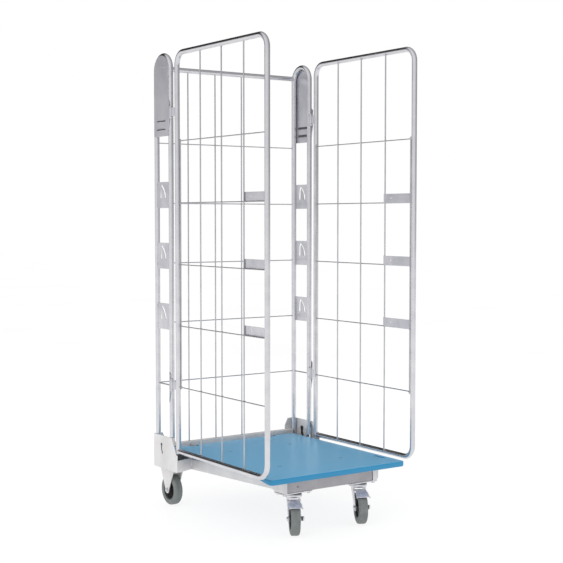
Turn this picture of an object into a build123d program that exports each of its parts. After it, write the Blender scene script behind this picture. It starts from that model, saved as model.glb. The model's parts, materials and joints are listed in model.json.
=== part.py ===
from build123d import *

import os
from math import cos, radians, sin, sqrt

# Roll cage container: a nesting warehouse trolley with two swinging side gates, a flip-up deck,
# two braked swivel casters at the front and two rigid casters at the back.
# Millimetres. +Z is up, the front is -Y and the left is -X. The origin is on the floor, midway.

os.makedirs("parts", exist_ok=True)

LEFT, RIGHT = -1, 1
STAND = (Align.CENTER, Align.CENTER, Align.MIN)
HANG = (Align.CENTER, Align.CENTER, Align.MAX)
SIDE_NAME = {LEFT: "left", RIGHT: "right"}

# ---- overall size
HEIGHT = 1700.0
DEPTH = 769.5

# ---- round stock and the radial play of every running fit
RUNNING_FIT = 0.05
TUBE_R = 9.5
TUBE_BORE_R = 8.3
UPRIGHT_WIRE_R = 2.5
CROSS_WIRE_R = 2.0
TOP_TUBE_Z = HEIGHT - TUBE_R

# ---- columns: one inverted U of tube at each rear side
COLUMN_X = 315.5
COLUMN_REAR_Y = 367.25
COLUMN_SPACING = 106.5
COLUMN_FRONT_Y = COLUMN_REAR_Y - COLUMN_SPACING
COLUMN_MID_Y = (COLUMN_REAR_Y + COLUMN_FRONT_Y) / 2
ARCH_R = COLUMN_SPACING / 2
ARCH_Z = TOP_TUBE_Z - ARCH_R
PLATE_T = 2.0
PLATE_FACE_X = COLUMN_X + TUBE_R
TOP_PLATE_FOOT_Z = 1391.5
LOUVRE_Z = (1417.0, 1448.0)
LOUVRE_LENGTH = 66.0
HOOK_PLATE_TOP_Z = (1223.0, 996.5, 770.0)
HOOK_PLATE_HEIGHT = 97.0
HOOK_PLATE_X = COLUMN_X + 3.0
# outlines of a hook and of its window: (towards the front from mid-plate, down from the plate's top)
HOOK_FOOT = 60.0
HOOK_TIP = 16.0
HOOK_WINDOW = ((-22.0, HOOK_FOOT), (-20.0, 22.0), (-11.0, 7.0), (7.0, 22.0), (20.0, 44.0), (21.0, HOOK_FOOT))
HOOK_FIN = ((-12.0, HOOK_FOOT), (-13.5, 24.0), (-9.0, HOOK_TIP), (6.0, 35.0), (13.0, HOOK_FOOT))
HOOK_LEAN = 2.0

# ---- back mesh and gate mesh share their cross wire heights
CROSS_WIRE_PITCH = 226.5
CROSS_WIRE_Z = [464.6 + CROSS_WIRE_PITCH * n for n in range(5)]
BACK_RAIL_Z = 1649.5
BACK_WIRE_PITCH = 121.3
WIRE_STEP = UPRIGHT_WIRE_R + CROSS_WIRE_R

# ---- gates
GATE_X = 315.0
GATE_LENGTH = 590.0
GATE_FRONT_Y = TUBE_R - DEPTH / 2
GATE_REAR_Y = GATE_FRONT_Y + GATE_LENGTH
GATE_BOTTOM_Z = 224.5
GATE_FOOT_Z = GATE_BOTTOM_Z - TUBE_R
GATE_CORNER_R = 45.0
MESH_INSET = TUBE_R - UPRIGHT_WIRE_R
CROSS_INSET = MESH_INSET - WIRE_STEP
END_WIRE_GAP = sqrt((TUBE_R + UPRIGHT_WIRE_R) ** 2 - MESH_INSET**2)
GATE_BAYS = 4
GATE_PLATE_T = 1.8
GATE_PLATE_HEIGHT = 33.0
GATE_PLATE_HOLE_R = 2.8
GATE_PLATE_HOLE_Y = -261.0

# ---- gate hinges: the two pins are staggered so that both gates fold flat, one behind the other
PIN_XY = {LEFT: (-324.4, 245.6), RIGHT: (308.5, 241.0)}
HINGE_Z = (469.0, 1478.0)
HINGE_PIN_R = 3.5
HINGE_BORE_R = HINGE_PIN_R + RUNNING_FIT
HINGE_EYE_R = 6.0
HINGE_EAR_R = 6.3
HINGE_EAR_T = 4.0
HINGE_EAR_Z = 18.0
HINGE_SPINE_UP = 47.0
HINGE_SPINE_DOWN = 66.0
HINGE_SPINE_T = 3.0
HINGE_HEAD_R = 6.0
HINGE_HEAD_T = 4.0
HINGE_WEB_R = 1.5
HINGE_SPINE_WIDTH = 8.0
HINGE_SPINE_GAP = 0.25
HINGE_PLAY = 0.5

# ---- base
SHEET_T = 3.0
BASE_BOTTOM_Z = 146.0
BEAM_TOP_Z = 184.0
BEAM_HALF = 187.5
BEAM_FRONT_Y = -308.0
BEAM_REAR_Y = -250.0
BEAM_LIP = 4.0
BRACKET_HALF = 212.0
BRACKET_REAR_Y = -254.0
BRACKET_ROUND = 13.0
RAIL_WIDTH = 30.0
RAIL_FRONT_X = 180.5
RAIL_SPLAY = 0.14
REAR_BEAM_FRONT_Y = 357.0
REAR_BEAM_REAR_Y = COLUMN_REAR_Y + TUBE_R
REAR_BEAM_TOP_Z = 227.0
REAR_BEAM_HALF = COLUMN_X - TUBE_R - 0.5

# ---- corner housings: folded sheet round the feet of each column
HOUSING_X = PLATE_FACE_X + SHEET_T
HOUSING_TOP_Z = 270.0
HOUSING_BOX_TOP_Z = 190.0
HOUSING_INNER_X = 212.0
HOUSING_FRONT_Y = 204.3
HOUSING_SLANT = 0.378
HOUSING_SHOULDER = ((211.3, 211.0), (244.0, HOUSING_TOP_Z))
HOUSING_REAR_Y = REAR_BEAM_REAR_Y + SHEET_T
GUSSET_TIP_X = 278.0
GUSSET_TOP_X = 293.0
GUSSET_TIP_Z = 241.0
HOUSING_CORNER_R = 4.0
FLANGE_START = 0.55
FLANGE_WIDTH = 9.0
KEY_SLOT_R = 6.5
KEY_SLOT_WIDTH = 7.5
KEY_SLOT_PATH = ((322.0, 235.0), (322.0, 217.0), (314.0, 201.0))

# ---- deck
GATE_OVER_DECK = 0.7
DECK_HALF = 292.0
DECK_FRONT_Y = -360.5
DECK_REAR_Y = 343.0
DECK_TOP_Z = GATE_FOOT_Z - GATE_OVER_DECK
DECK_T = 19.0
DECK_BOTTOM_Z = DECK_TOP_Z - DECK_T
DECK_CORNER_R = 12.0
DECK_TOP_ROUND = 4.0
DECK_DRAFT = 3.0
DECK_UNDERCUT = (10.5, 32.0)
DECK_PIVOT_Y = 335.0
DECK_PIVOT_Z = 204.0
DECK_HINGE_X = 180.0
DECK_PIN_R = 4.0
DECK_BORE_R = DECK_PIN_R + RUNNING_FIT
DECK_EYE_R = 8.0
DECK_NOTCH = 36.0
CHEEK_OUT = 13.0
CHEEK_GAP = 0.5
DECK_PIN_HEAD_R = 6.4
LUG_HALF = 4.0
STIFFENER_X = 135.0
STIFFENER_HALF = 20.0
STIFFENER_DEPTH = 10.8
SCREW_Y = (-184.0, 140.0)
SCREW_HEAD_R = 6.0
SCREW_R = 3.0
SCREW_HEAD_T = 3.0
SCREW_CLEARANCE = 0.1
SCREW_SINK = 0.5
RECESS_X = 266.5
RECESS_Y = -249.0
RECESS_LENGTH = 62.0
RECESS_WIDTH = 19.0
RECESS_DEPTH = 4.0
CLIP_LENGTH = 16.0
CLIP_WIDTH = 12.0

# ---- casters
WHEEL_R = 57.5
TREAD_HALF = 16.0
TREAD_ROUND = 8.0
RIM_R = 38.0
RIM_HALF = 14.0
RIM_LIP = 4.0
WEB_HALF = 4.0
BOSS_R = 13.0
FORK_GAP = 19.0
HUB_PLAY = 0.2
FORK_T = 3.0
FORK_END_R = 12.75
FORK_SHOULDER = 12.0
AXLE_R = 5.0
AXLE_BORE_R = AXLE_R + RUNNING_FIT
BOLT_HEAD_R = 8.5
BOLT_HEAD_T = 6.0
CASTER_PLATE_T = 4.0
CASTER_PLATE = (124.0, 54.0)
CASTER_BOLT_SPACING = (100.0, 38.0)
CASTER_BOLT_R = 4.0
FRONT_CASTER_X = 143.5
FRONT_CASTER_Y = -281.0
FRONT_CASTER_TURN = {LEFT: -29.0, RIGHT: -26.0}
TRAIL = 36.0
RACE_R = 28.0
RACE_TOP_Z = BASE_BOTTOM_Z - CASTER_PLATE_T - 1.0
CROWN_Z = 128.0
CROWN_FRONT = -20.0
CROWN_REAR = 26.0
KINGPIN_R = 6.0
KINGPIN_BORE_R = KINGPIN_R + RUNNING_FIT
KINGPIN_HEAD_R = 9.0
KINGPIN_PLAY = 0.3
REAR_CASTER_X = 280.0
REAR_CASTER_Y = DEPTH / 2 - WHEEL_R
REAR_PLATE = (80.0, 100.0)
REAR_FORK_HALF = 47.0
REAR_BOLT_SPACING = (60.0, 44.0)
PLATE_BOLT_HEAD_R = 7.0
PLATE_BOLT_HEAD_T = 5.0
PLATE_BOLT_REACH = 16.0
PEDAL_HALF = 23.0
PEDAL_T = 2.0
PEDAL_PIVOT = (-14.0, 117.0)
PEDAL_PIN_R = 2.5
PEDAL_KNEE = (-43.0, 121.0)
PEDAL_UNDER_KNEE = (-48.0, 118.2)
PEDAL_TOE = (-80.0, 104.0)
PEDAL_LIP = (-86.0, 104.0)
PEDAL_PLAY = 0.5
PEDAL_PIN_OVERHANG = 1.5


def save(piece, name):
    """Label a finished piece and write it under its own name."""
    piece.part.label = name
    export_step(piece.part, f"parts/{name}.step")


def bar(start, end, radius, mode=Mode.ADD):
    """Round bar from one point to another, in the part being built."""
    span = Vector(*end) - Vector(*start)
    with Locations(Plane(origin=start, z_dir=span)):
        Cylinder(radius, span.length, align=STAND, mode=mode)


def block(low, high, mode=Mode.ADD):
    """Rectangular block between two opposite corners, in the part being built."""
    size = [b - a for a, b in zip(low, high)]
    with Locations(low):
        Box(*size, align=(Align.MIN, Align.MIN, Align.MIN), mode=mode)


# ------------------------------------------------------------------ columns and back mesh


def column_sweep(side, radius, mode):
    """Round section swept along the inverted U of one column, in the part being built."""
    foot = BASE_BOTTOM_Z + SHEET_T
    with BuildLine(Plane.YZ.offset(side * COLUMN_X)) as path:
        Line((COLUMN_REAR_Y, foot), (COLUMN_REAR_Y, ARCH_Z))
        CenterArc((COLUMN_MID_Y, ARCH_Z), ARCH_R, 0, 180)
        Line((COLUMN_FRONT_Y, ARCH_Z), (COLUMN_FRONT_Y, foot))
    with BuildSketch(Plane.XY.offset(foot)) as section:
        with Locations((side * COLUMN_X, COLUMN_REAR_Y)):
            Circle(radius)
    sweep(section.sketch, path=path.wires()[0], mode=mode)


def build_column(side):
    """Inverted U of tube, open at its two feet."""
    with BuildPart() as column:
        column_sweep(side, TUBE_R, Mode.ADD)
        column_sweep(side, TUBE_BORE_R, Mode.SUBTRACT)
    save(column, f"column_{SIDE_NAME[side]}")


def build_top_plate(side):
    """Arched plate on the outer face of a column, with two pressed slots near its foot."""
    straight = ARCH_Z - TOP_PLATE_FOOT_Z
    with BuildPart() as plate:
        with BuildSketch(Plane.YZ.offset(side * PLATE_FACE_X)):
            with Locations((COLUMN_MID_Y, TOP_PLATE_FOOT_Z)):
                Rectangle(COLUMN_SPACING, straight, align=(Align.CENTER, Align.MIN))
            with Locations((COLUMN_MID_Y, ARCH_Z)):
                Circle(ARCH_R)
            with Locations(*[(COLUMN_MID_Y, z) for z in LOUVRE_Z]):
                SlotOverall(LOUVRE_LENGTH, 2 * CROSS_WIRE_R, mode=Mode.SUBTRACT)
        extrude(amount=side * PLATE_T)
    save(plate, f"column_top_plate_{SIDE_NAME[side]}")


def hook_outline(points, top):
    """Corners of a hook or of its window, on the plate whose top edge is at this height."""
    return [(COLUMN_MID_Y - forward, top - drop) for forward, drop in points]


def build_hook_plates(side):
    """Three plates welded between the legs, each with a hook cut out of it and leaned outward."""
    face = side * HOOK_PLATE_X
    hooks = []
    for top in HOOK_PLATE_TOP_Z:
        foot, tip = top - HOOK_FOOT, top - HOOK_TIP
        lean = face + side * HOOK_LEAN
        with BuildPart() as hook:
            with BuildSketch(Plane.YZ.offset(face)):
                Polygon(*hook_outline(HOOK_FIN, top), align=None)
            extrude(amount=side * (HOOK_LEAN + PLATE_T))
            with BuildSketch(Plane.XZ.offset(-COLUMN_MID_Y)):
                with BuildLine():
                    Polyline(
                        (face, foot),
                        (lean, tip),
                        (lean + side * PLATE_T, tip),
                        (face + side * PLATE_T, foot),
                        close=True,
                    )
                make_face()
            extrude(amount=COLUMN_SPACING / 2, both=True, mode=Mode.INTERSECT)
        hooks.append(hook.part)

    with BuildPart() as plates:
        with BuildSketch(Plane.YZ.offset(face)):
            for top in HOOK_PLATE_TOP_Z:
                with Locations((COLUMN_MID_Y, top)):
                    Rectangle(COLUMN_SPACING, HOOK_PLATE_HEIGHT, align=(Align.CENTER, Align.MAX))
                Polygon(*hook_outline(HOOK_WINDOW, top), align=None, mode=Mode.SUBTRACT)
        extrude(amount=side * PLATE_T)
        add(hooks)
        column_sweep(side, TUBE_R, Mode.SUBTRACT)
    save(plates, f"hook_plates_{SIDE_NAME[side]}")


def build_back_mesh():
    """Top rail, four upright wires, five cross wires and the short rods inside the columns."""
    rail_ends = [(side * COLUMN_X, COLUMN_REAR_Y, BACK_RAIL_Z) for side in (LEFT, RIGHT)]
    with BuildPart() as rail:
        bar(*rail_ends, TUBE_R)
        bar(*rail_ends, TUBE_BORE_R, Mode.SUBTRACT)
        for side in (LEFT, RIGHT):
            column_sweep(side, TUBE_R, Mode.SUBTRACT)
    save(rail, "back_top_rail")

    upright_y = COLUMN_REAR_Y - WIRE_STEP / 2
    with BuildPart() as uprights:
        for n in range(4):
            x = (n - 1.5) * BACK_WIRE_PITCH
            bar((x, upright_y, REAR_BEAM_TOP_Z), (x, upright_y, BACK_RAIL_Z), UPRIGHT_WIRE_R)
        bar(*rail_ends, TUBE_R, Mode.SUBTRACT)
    save(uprights, "back_upright_wires")

    cross_y = COLUMN_REAR_Y + WIRE_STEP / 2
    with BuildPart() as cross:
        for z in CROSS_WIRE_Z:
            bar((-COLUMN_X, cross_y, z), (COLUMN_X, cross_y, z), CROSS_WIRE_R)
        for side in (LEFT, RIGHT):
            column_sweep(side, TUBE_R, Mode.SUBTRACT)
    save(cross, "back_cross_wires")

    with BuildPart() as rods:
        for side in (LEFT, RIGHT):
            x, z = side * COLUMN_X, CROSS_WIRE_Z[0]
            bar((x, COLUMN_FRONT_Y, z), (x, COLUMN_REAR_Y, z), UPRIGHT_WIRE_R)
            column_sweep(side, TUBE_R, Mode.SUBTRACT)
    save(rods, "column_rods")


# ------------------------------------------------------------------ base


def build_front_beam():
    """Folded tray under the front of the deck, with a forward lip and a small gauge hole."""
    with BuildPart() as beam:
        block((-BEAM_HALF, BEAM_FRONT_Y, BASE_BOTTOM_Z), (BEAM_HALF, BEAM_REAR_Y, BEAM_TOP_Z))
        front = beam.faces().sort_by(Axis.Y)[0]
        fillet(front.edges().filter_by(Axis.Z), 2 * SHEET_T)
        low = beam.faces().sort_by(Axis.Y)[0].edges().sort_by(Axis.Z)[0]
        fillet(low, SHEET_T)
        block(
            (SHEET_T - BEAM_HALF, BEAM_FRONT_Y + SHEET_T, BASE_BOTTOM_Z + SHEET_T),
            (BEAM_HALF - SHEET_T, BEAM_REAR_Y - SHEET_T, BEAM_TOP_Z),
            Mode.SUBTRACT,
        )
        block(
            (2 * SHEET_T - BEAM_HALF, BEAM_FRONT_Y - BEAM_LIP, BEAM_TOP_Z - SHEET_T),
            (BEAM_HALF - 2 * SHEET_T, BEAM_FRONT_Y, BEAM_TOP_Z),
        )
        hole_z = (BASE_BOTTOM_Z + BEAM_TOP_Z) / 2
        hole_x = -FRONT_CASTER_X
        bar(
            (hole_x, BEAM_FRONT_Y - 1, hole_z),
            (hole_x, BEAM_FRONT_Y + 2 * SHEET_T, hole_z),
            UPRIGHT_WIRE_R,
            Mode.SUBTRACT,
        )
        for side in (LEFT, RIGHT):
            with Locations((side * FRONT_CASTER_X, FRONT_CASTER_Y, BASE_BOTTOM_Z)):
                with GridLocations(*CASTER_BOLT_SPACING, 2, 2):
                    Cylinder(CASTER_BOLT_R, 3 * SHEET_T, mode=Mode.SUBTRACT)
    save(beam, "front_beam")


def build_corner_brackets():
    """Folded brackets beyond the beam's ends, which carry the outer bolts of the front casters."""
    with BuildPart() as brackets:
        for side in (LEFT, RIGHT):
            for inset, mode in ((0, Mode.ADD), (SHEET_T, Mode.SUBTRACT)):
                front = BEAM_FRONT_Y + inset
                with BuildSketch(Plane.XZ.offset(-front)) as section:
                    Polygon(
                        (side * BEAM_HALF, BEAM_TOP_Z),
                        (side * BEAM_HALF, BASE_BOTTOM_Z + inset),
                        (side * (BRACKET_HALF - inset), BASE_BOTTOM_Z + inset),
                        (side * (BRACKET_HALF - inset), BEAM_TOP_Z),
                        align=None,
                    )
                    low = section.vertices().group_by(Axis.Y)[0]
                    outer = low.sort_by(Axis.X)[0 if side == LEFT else -1]
                    fillet(outer, BRACKET_ROUND - inset)
                extrude(amount=front - BRACKET_REAR_Y, mode=mode)
            with Locations((side * FRONT_CASTER_X, FRONT_CASTER_Y, BASE_BOTTOM_Z)):
                with GridLocations(*CASTER_BOLT_SPACING, 2, 2):
                    Cylinder(CASTER_BOLT_R, 3 * SHEET_T, mode=Mode.SUBTRACT)
    save(brackets, "front_corner_brackets")


def rail_x(y):
    """Outer face of a side rail, which leans inward towards the front."""
    return RAIL_FRONT_X + RAIL_SPLAY * (y - BEAM_REAR_Y)


def slant_y(x):
    """Front wall of a corner housing, which is set back towards the middle."""
    return HOUSING_FRONT_Y + HOUSING_SLANT * (HOUSING_X - x)


def build_side_rail(side):
    """Rectangular tube from the front beam back to the slanted wall of the corner housing."""

    def outline(inset):
        front_x = rail_x(BEAM_REAR_Y) - inset
        rear_y = slant_y(rail_x(HOUSING_FRONT_Y))
        rear_x = rail_x(rear_y) - inset
        width = RAIL_WIDTH - 2 * inset
        corners = [
            (front_x, BEAM_REAR_Y),
            (rear_x, slant_y(rear_x)),
            (rear_x - width, slant_y(rear_x - width)),
            (front_x - width, BEAM_REAR_Y),
        ]
        return [(side * x, y) for x, y in corners]

    with BuildPart() as rail:
        with BuildSketch(Plane.XY.offset(BASE_BOTTOM_Z)):
            with BuildLine():
                Polyline(*outline(0), close=True)
            make_face()
        extrude(amount=BEAM_TOP_Z - BASE_BOTTOM_Z)
        with BuildSketch(Plane.XY.offset(BASE_BOTTOM_Z + SHEET_T)):
            with BuildLine():
                Polyline(*outline(SHEET_T), close=True)
            make_face()
        extrude(amount=BEAM_TOP_Z - BASE_BOTTOM_Z - 2 * SHEET_T, mode=Mode.SUBTRACT)
    save(rail, f"side_rail_{SIDE_NAME[side]}")


def build_rear_beam():
    """Rectangular tube behind the deck, between the columns."""
    with BuildPart() as beam:
        block(
            (-REAR_BEAM_HALF, REAR_BEAM_FRONT_Y, BASE_BOTTOM_Z),
            (REAR_BEAM_HALF, REAR_BEAM_REAR_Y, REAR_BEAM_TOP_Z),
        )
        fillet(beam.edges().filter_by(Axis.X), SHEET_T)
        block(
            (-REAR_BEAM_HALF, REAR_BEAM_FRONT_Y + SHEET_T, BASE_BOTTOM_Z + SHEET_T),
            (REAR_BEAM_HALF, REAR_BEAM_REAR_Y - SHEET_T, REAR_BEAM_TOP_Z - SHEET_T),
            Mode.SUBTRACT,
        )
    save(beam, "rear_beam")


def build_corner_housing(side):
    """Folded sheet round a column's feet: outer web, rear gusset, shoulder flange and lower box."""

    def box_outline(inset):
        outer, inner = HOUSING_X - inset, HOUSING_INNER_X + inset
        rear = REAR_BEAM_FRONT_Y - inset
        drop = inset * sqrt(1 + HOUSING_SLANT**2)
        corners = [
            (outer, slant_y(outer) + drop),
            (inner, slant_y(inner) + drop),
            (inner, rear),
            (outer, rear),
        ]
        return [(side * x, y) for x, y in corners]

    with BuildPart() as housing:
        with BuildSketch(Plane.XY.offset(BASE_BOTTOM_Z)):
            with BuildLine():
                Polyline(*box_outline(0), close=True)
            make_face()
        extrude(amount=HOUSING_BOX_TOP_Z - BASE_BOTTOM_Z)
        with BuildSketch(Plane.XY.offset(BASE_BOTTOM_Z + SHEET_T)):
            with BuildLine():
                Polyline(*box_outline(SHEET_T), close=True)
            make_face()
        extrude(amount=HOUSING_BOX_TOP_Z - BASE_BOTTOM_Z, mode=Mode.SUBTRACT)
        shoulder_low, shoulder_high = HOUSING_SHOULDER
        with BuildSketch(Plane.YZ.offset(side * PLATE_FACE_X)) as web:
            with BuildLine():
                Polyline(
                    (HOUSING_FRONT_Y, BASE_BOTTOM_Z),
                    (HOUSING_FRONT_Y, shoulder_low[1]),
                    shoulder_low,
                    shoulder_high,
                    (HOUSING_REAR_Y, HOUSING_TOP_Z),
                    (HOUSING_REAR_Y, BASE_BOTTOM_Z),
                    close=True,
                )
            make_face()
            fillet(web.vertices().group_by(Axis.X)[0], HOUSING_CORNER_R)
        extrude(amount=side * SHEET_T)
        with BuildSketch(Plane.XZ.offset(-REAR_BEAM_REAR_Y)):
            with BuildLine():
                Polyline(
                    (side * HOUSING_X, BASE_BOTTOM_Z),
                    (side * HOUSING_X, HOUSING_TOP_Z),
                    (side * GUSSET_TOP_X, HOUSING_TOP_Z),
                    (side * GUSSET_TIP_X, GUSSET_TIP_Z),
                    (side * GUSSET_TIP_X, BASE_BOTTOM_Z),
                    close=True,
                )
            make_face()
        extrude(amount=-SHEET_T)
        slope = Vector(*shoulder_high) - Vector(*shoulder_low)
        flange_low = Vector(*shoulder_low) + slope * FLANGE_START
        flange_high = Vector(*shoulder_high)
        inward = Vector(-slope.Y, slope.X).normalized() * -SHEET_T
        with BuildSketch(Plane.YZ.offset(side * PLATE_FACE_X)):
            with BuildLine():
                Polyline(
                    (flange_low.X, flange_low.Y),
                    (flange_high.X, flange_high.Y),
                    (flange_high.X + inward.X, flange_high.Y + inward.Y),
                    (flange_low.X + inward.X, flange_low.Y + inward.Y),
                    close=True,
                )
            make_face()
        extrude(amount=-side * FLANGE_WIDTH)
        foot_z = BASE_BOTTOM_Z + SHEET_T / 2
        with Locations((side * REAR_CASTER_X, REAR_CASTER_Y, foot_z)):
            with GridLocations(*REAR_BOLT_SPACING, 2, 2):
                Cylinder(CASTER_BOLT_R, 2 * SHEET_T, mode=Mode.SUBTRACT)
        # S-shaped key slot through the web
        with BuildSketch(Plane.YZ.offset(side * HOUSING_X)):
            with BuildLine():
                Polyline(*KEY_SLOT_PATH)
            trace(line_width=KEY_SLOT_WIDTH)
            with Locations(KEY_SLOT_PATH[0]):
                Circle(KEY_SLOT_R)
        extrude(amount=-side * 2 * SHEET_T, mode=Mode.SUBTRACT)
    save(housing, f"corner_housing_{SIDE_NAME[side]}")


# ------------------------------------------------------------------ gates and their hinges


def hinge_levels(z):
    """The two faces of each of a hinge's ears, and the gap between the ears."""
    inner = HINGE_EAR_Z - HINGE_EAR_T / 2
    return [z - inner - HINGE_EAR_T, z + inner], (z - inner, z + inner)


def build_hinge_brackets(side):
    """Column side of a gate's two hinges: a tapered spine with two ears bored for the pin."""
    spine_x = side * PLATE_FACE_X
    spine_rear = COLUMN_FRONT_Y - HINGE_SPINE_GAP
    spine_front = spine_rear - HINGE_SPINE_WIDTH
    spine_mid = (spine_front + spine_rear) / 2
    with BuildPart() as brackets:
        with BuildSketch(Plane.YZ.offset(spine_x)):
            for z in HINGE_Z:
                with BuildLine():
                    Polyline(
                        (spine_rear, z + HINGE_SPINE_UP),
                        (spine_front, z + HINGE_SPINE_UP - HINGE_SPINE_WIDTH),
                        (spine_front, z - HINGE_EAR_Z - 2 * HINGE_EAR_T),
                        (spine_rear, z - HINGE_SPINE_DOWN),
                        close=True,
                    )
                make_face()
        extrude(amount=side * HINGE_SPINE_T)
        for z in HINGE_Z:
            for ear_z in hinge_levels(z)[0]:
                with BuildSketch(Plane.XY.offset(ear_z)) as ear:
                    with Locations(PIN_XY[side]):
                        Circle(HINGE_EAR_R)
                    with Locations((spine_x + side * HINGE_SPINE_T / 2, spine_mid)):
                        Circle(HINGE_SPINE_T / 2)
                    with Locations((side * COLUMN_X, COLUMN_FRONT_Y)):
                        Circle(HINGE_EYE_R)
                    make_hull()
                    with Locations((side * COLUMN_X, COLUMN_FRONT_Y)):
                        Circle(TUBE_R, mode=Mode.SUBTRACT)
                    with Locations(PIN_XY[side]):
                        Circle(HINGE_BORE_R, mode=Mode.SUBTRACT)
                extrude(ear.sketch.faces().sort_by(Axis.Y)[0], amount=HINGE_EAR_T)
    save(brackets, f"hinge_brackets_{SIDE_NAME[side]}")


def build_hinge_pins():
    """One headed pin through each gate hinge."""
    with BuildPart() as pins:
        for side in (LEFT, RIGHT):
            x, y = PIN_XY[side]
            for z in HINGE_Z:
                top = z + HINGE_EAR_Z + HINGE_EAR_T / 2
                foot = z - HINGE_EAR_Z - HINGE_EAR_T / 2
                bar((x, y, foot - HINGE_HEAD_T), (x, y, top + HINGE_HEAD_T), HINGE_PIN_R)
                bar((x, y, foot - HINGE_HEAD_T), (x, y, foot), HINGE_HEAD_R)
                bar((x, y, top), (x, y, top + HINGE_HEAD_T), HINGE_HEAD_R)
    save(pins, "gate_hinge_pins")


def build_hinge_eyes(side):
    """Gate side of the hinges: a bored eye and the web that joins it to the gate's rear leg."""
    leg = (side * GATE_X, GATE_REAR_Y)
    with BuildPart() as eyes:
        for z in HINGE_Z:
            low, high = hinge_levels(z)[1]
            with BuildSketch(Plane.XY.offset(low + HINGE_PLAY)):
                with Locations(PIN_XY[side], leg):
                    Circle(HINGE_WEB_R)
                make_hull()
                with Locations(PIN_XY[side]):
                    Circle(HINGE_EYE_R)
                    Circle(HINGE_BORE_R, mode=Mode.SUBTRACT)
                with Locations(leg):
                    Circle(TUBE_R, mode=Mode.SUBTRACT)
            extrude(amount=high - low - 2 * HINGE_PLAY)
    save(eyes, f"gate_hinge_eyes_{SIDE_NAME[side]}")


def gate_coping(side):
    """Cut the gate's own tubes out of the mesh that is welded to them."""
    x = side * GATE_X
    corners = [(x, y, z) for y in (GATE_REAR_Y, GATE_FRONT_Y) for z in (GATE_BOTTOM_Z, TOP_TUBE_Z)]
    rear_low, rear_high, front_low, front_high = corners
    for start, end in (
        (rear_low, rear_high),
        (front_low, front_high),
        (rear_low, front_low),
        (rear_high, front_high),
    ):
        bar(start, end, TUBE_R, Mode.SUBTRACT)


def build_gate_frame(side):
    """Tube loop with three bent corners and one butt-welded corner at its rear foot."""
    x = side * GATE_X
    joint_z = TOP_TUBE_Z - GATE_CORNER_R - 2 * TUBE_R
    with BuildPart() as frame:
        with BuildLine(Plane.YZ.offset(x)) as path:
            FilletPolyline(
                (GATE_REAR_Y, joint_z),
                (GATE_REAR_Y, TOP_TUBE_Z),
                (GATE_FRONT_Y, TOP_TUBE_Z),
                (GATE_FRONT_Y, GATE_BOTTOM_Z),
                (GATE_REAR_Y, GATE_BOTTOM_Z),
                radius=GATE_CORNER_R,
            )
        for radius, mode in ((TUBE_R, Mode.ADD), (TUBE_BORE_R, Mode.SUBTRACT)):
            with BuildSketch(Plane.XY.offset(joint_z)):
                with Locations((x, GATE_REAR_Y)):
                    Circle(radius)
            sweep(path=path.wires()[0], mode=mode)
            bar((x, GATE_REAR_Y, GATE_FOOT_Z), (x, GATE_REAR_Y, joint_z), radius, mode)
    save(frame, f"gate_frame_{SIDE_NAME[side]}")


def gate_wire_ys():
    """The three upright wires, evenly between the two end wires."""
    low, high = GATE_FRONT_Y + END_WIRE_GAP, GATE_REAR_Y - END_WIRE_GAP
    return [low + (high - low) * n / GATE_BAYS for n in range(1, GATE_BAYS)]


def build_gate_mesh(side):
    """Upright wires, cross wires and the short end wires beside the two legs."""
    x_up, x_cross = side * (GATE_X - MESH_INSET), side * (GATE_X - CROSS_INSET)
    with BuildPart() as uprights:
        for y in gate_wire_ys():
            bar((x_up, y, GATE_BOTTOM_Z), (x_up, y, TOP_TUBE_Z), UPRIGHT_WIRE_R)
        gate_coping(side)
    save(uprights, f"gate_upright_wires_{SIDE_NAME[side]}")

    with BuildPart() as cross:
        for z in CROSS_WIRE_Z:
            bar((x_cross, GATE_FRONT_Y, z), (x_cross, GATE_REAR_Y, z), CROSS_WIRE_R)
        gate_coping(side)
    save(cross, f"gate_cross_wires_{SIDE_NAME[side]}")

    overrun = 4 * CROSS_WIRE_R
    with BuildPart() as ends:
        for y in (GATE_FRONT_Y + END_WIRE_GAP, GATE_REAR_Y - END_WIRE_GAP):
            low, high = CROSS_WIRE_Z[0] - overrun, CROSS_WIRE_Z[-1] + overrun
            bar((x_up, y, low), (x_up, y, high), UPRIGHT_WIRE_R)
    save(ends, f"gate_end_wires_{SIDE_NAME[side]}")


def build_gate_plates(side):
    """Three small plates with a tie hole, from the foremost upright wire to the front leg."""
    front = GATE_FRONT_Y + END_WIRE_GAP
    rear = gate_wire_ys()[0] + UPRIGHT_WIRE_R
    with BuildPart() as plates:
        with BuildSketch(Plane.YZ.offset(side * (GATE_X - TUBE_R))):
            for z in CROSS_WIRE_Z[1:4]:
                with Locations((front, z)):
                    Rectangle(rear - front, GATE_PLATE_HEIGHT, align=(Align.MIN, Align.MIN))
                with Locations((GATE_PLATE_HOLE_Y, z + GATE_PLATE_HEIGHT / 2)):
                    Circle(GATE_PLATE_HOLE_R, mode=Mode.SUBTRACT)
        extrude(amount=-side * GATE_PLATE_T)
    save(plates, f"gate_plates_{SIDE_NAME[side]}")


# ------------------------------------------------------------------ deck


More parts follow.
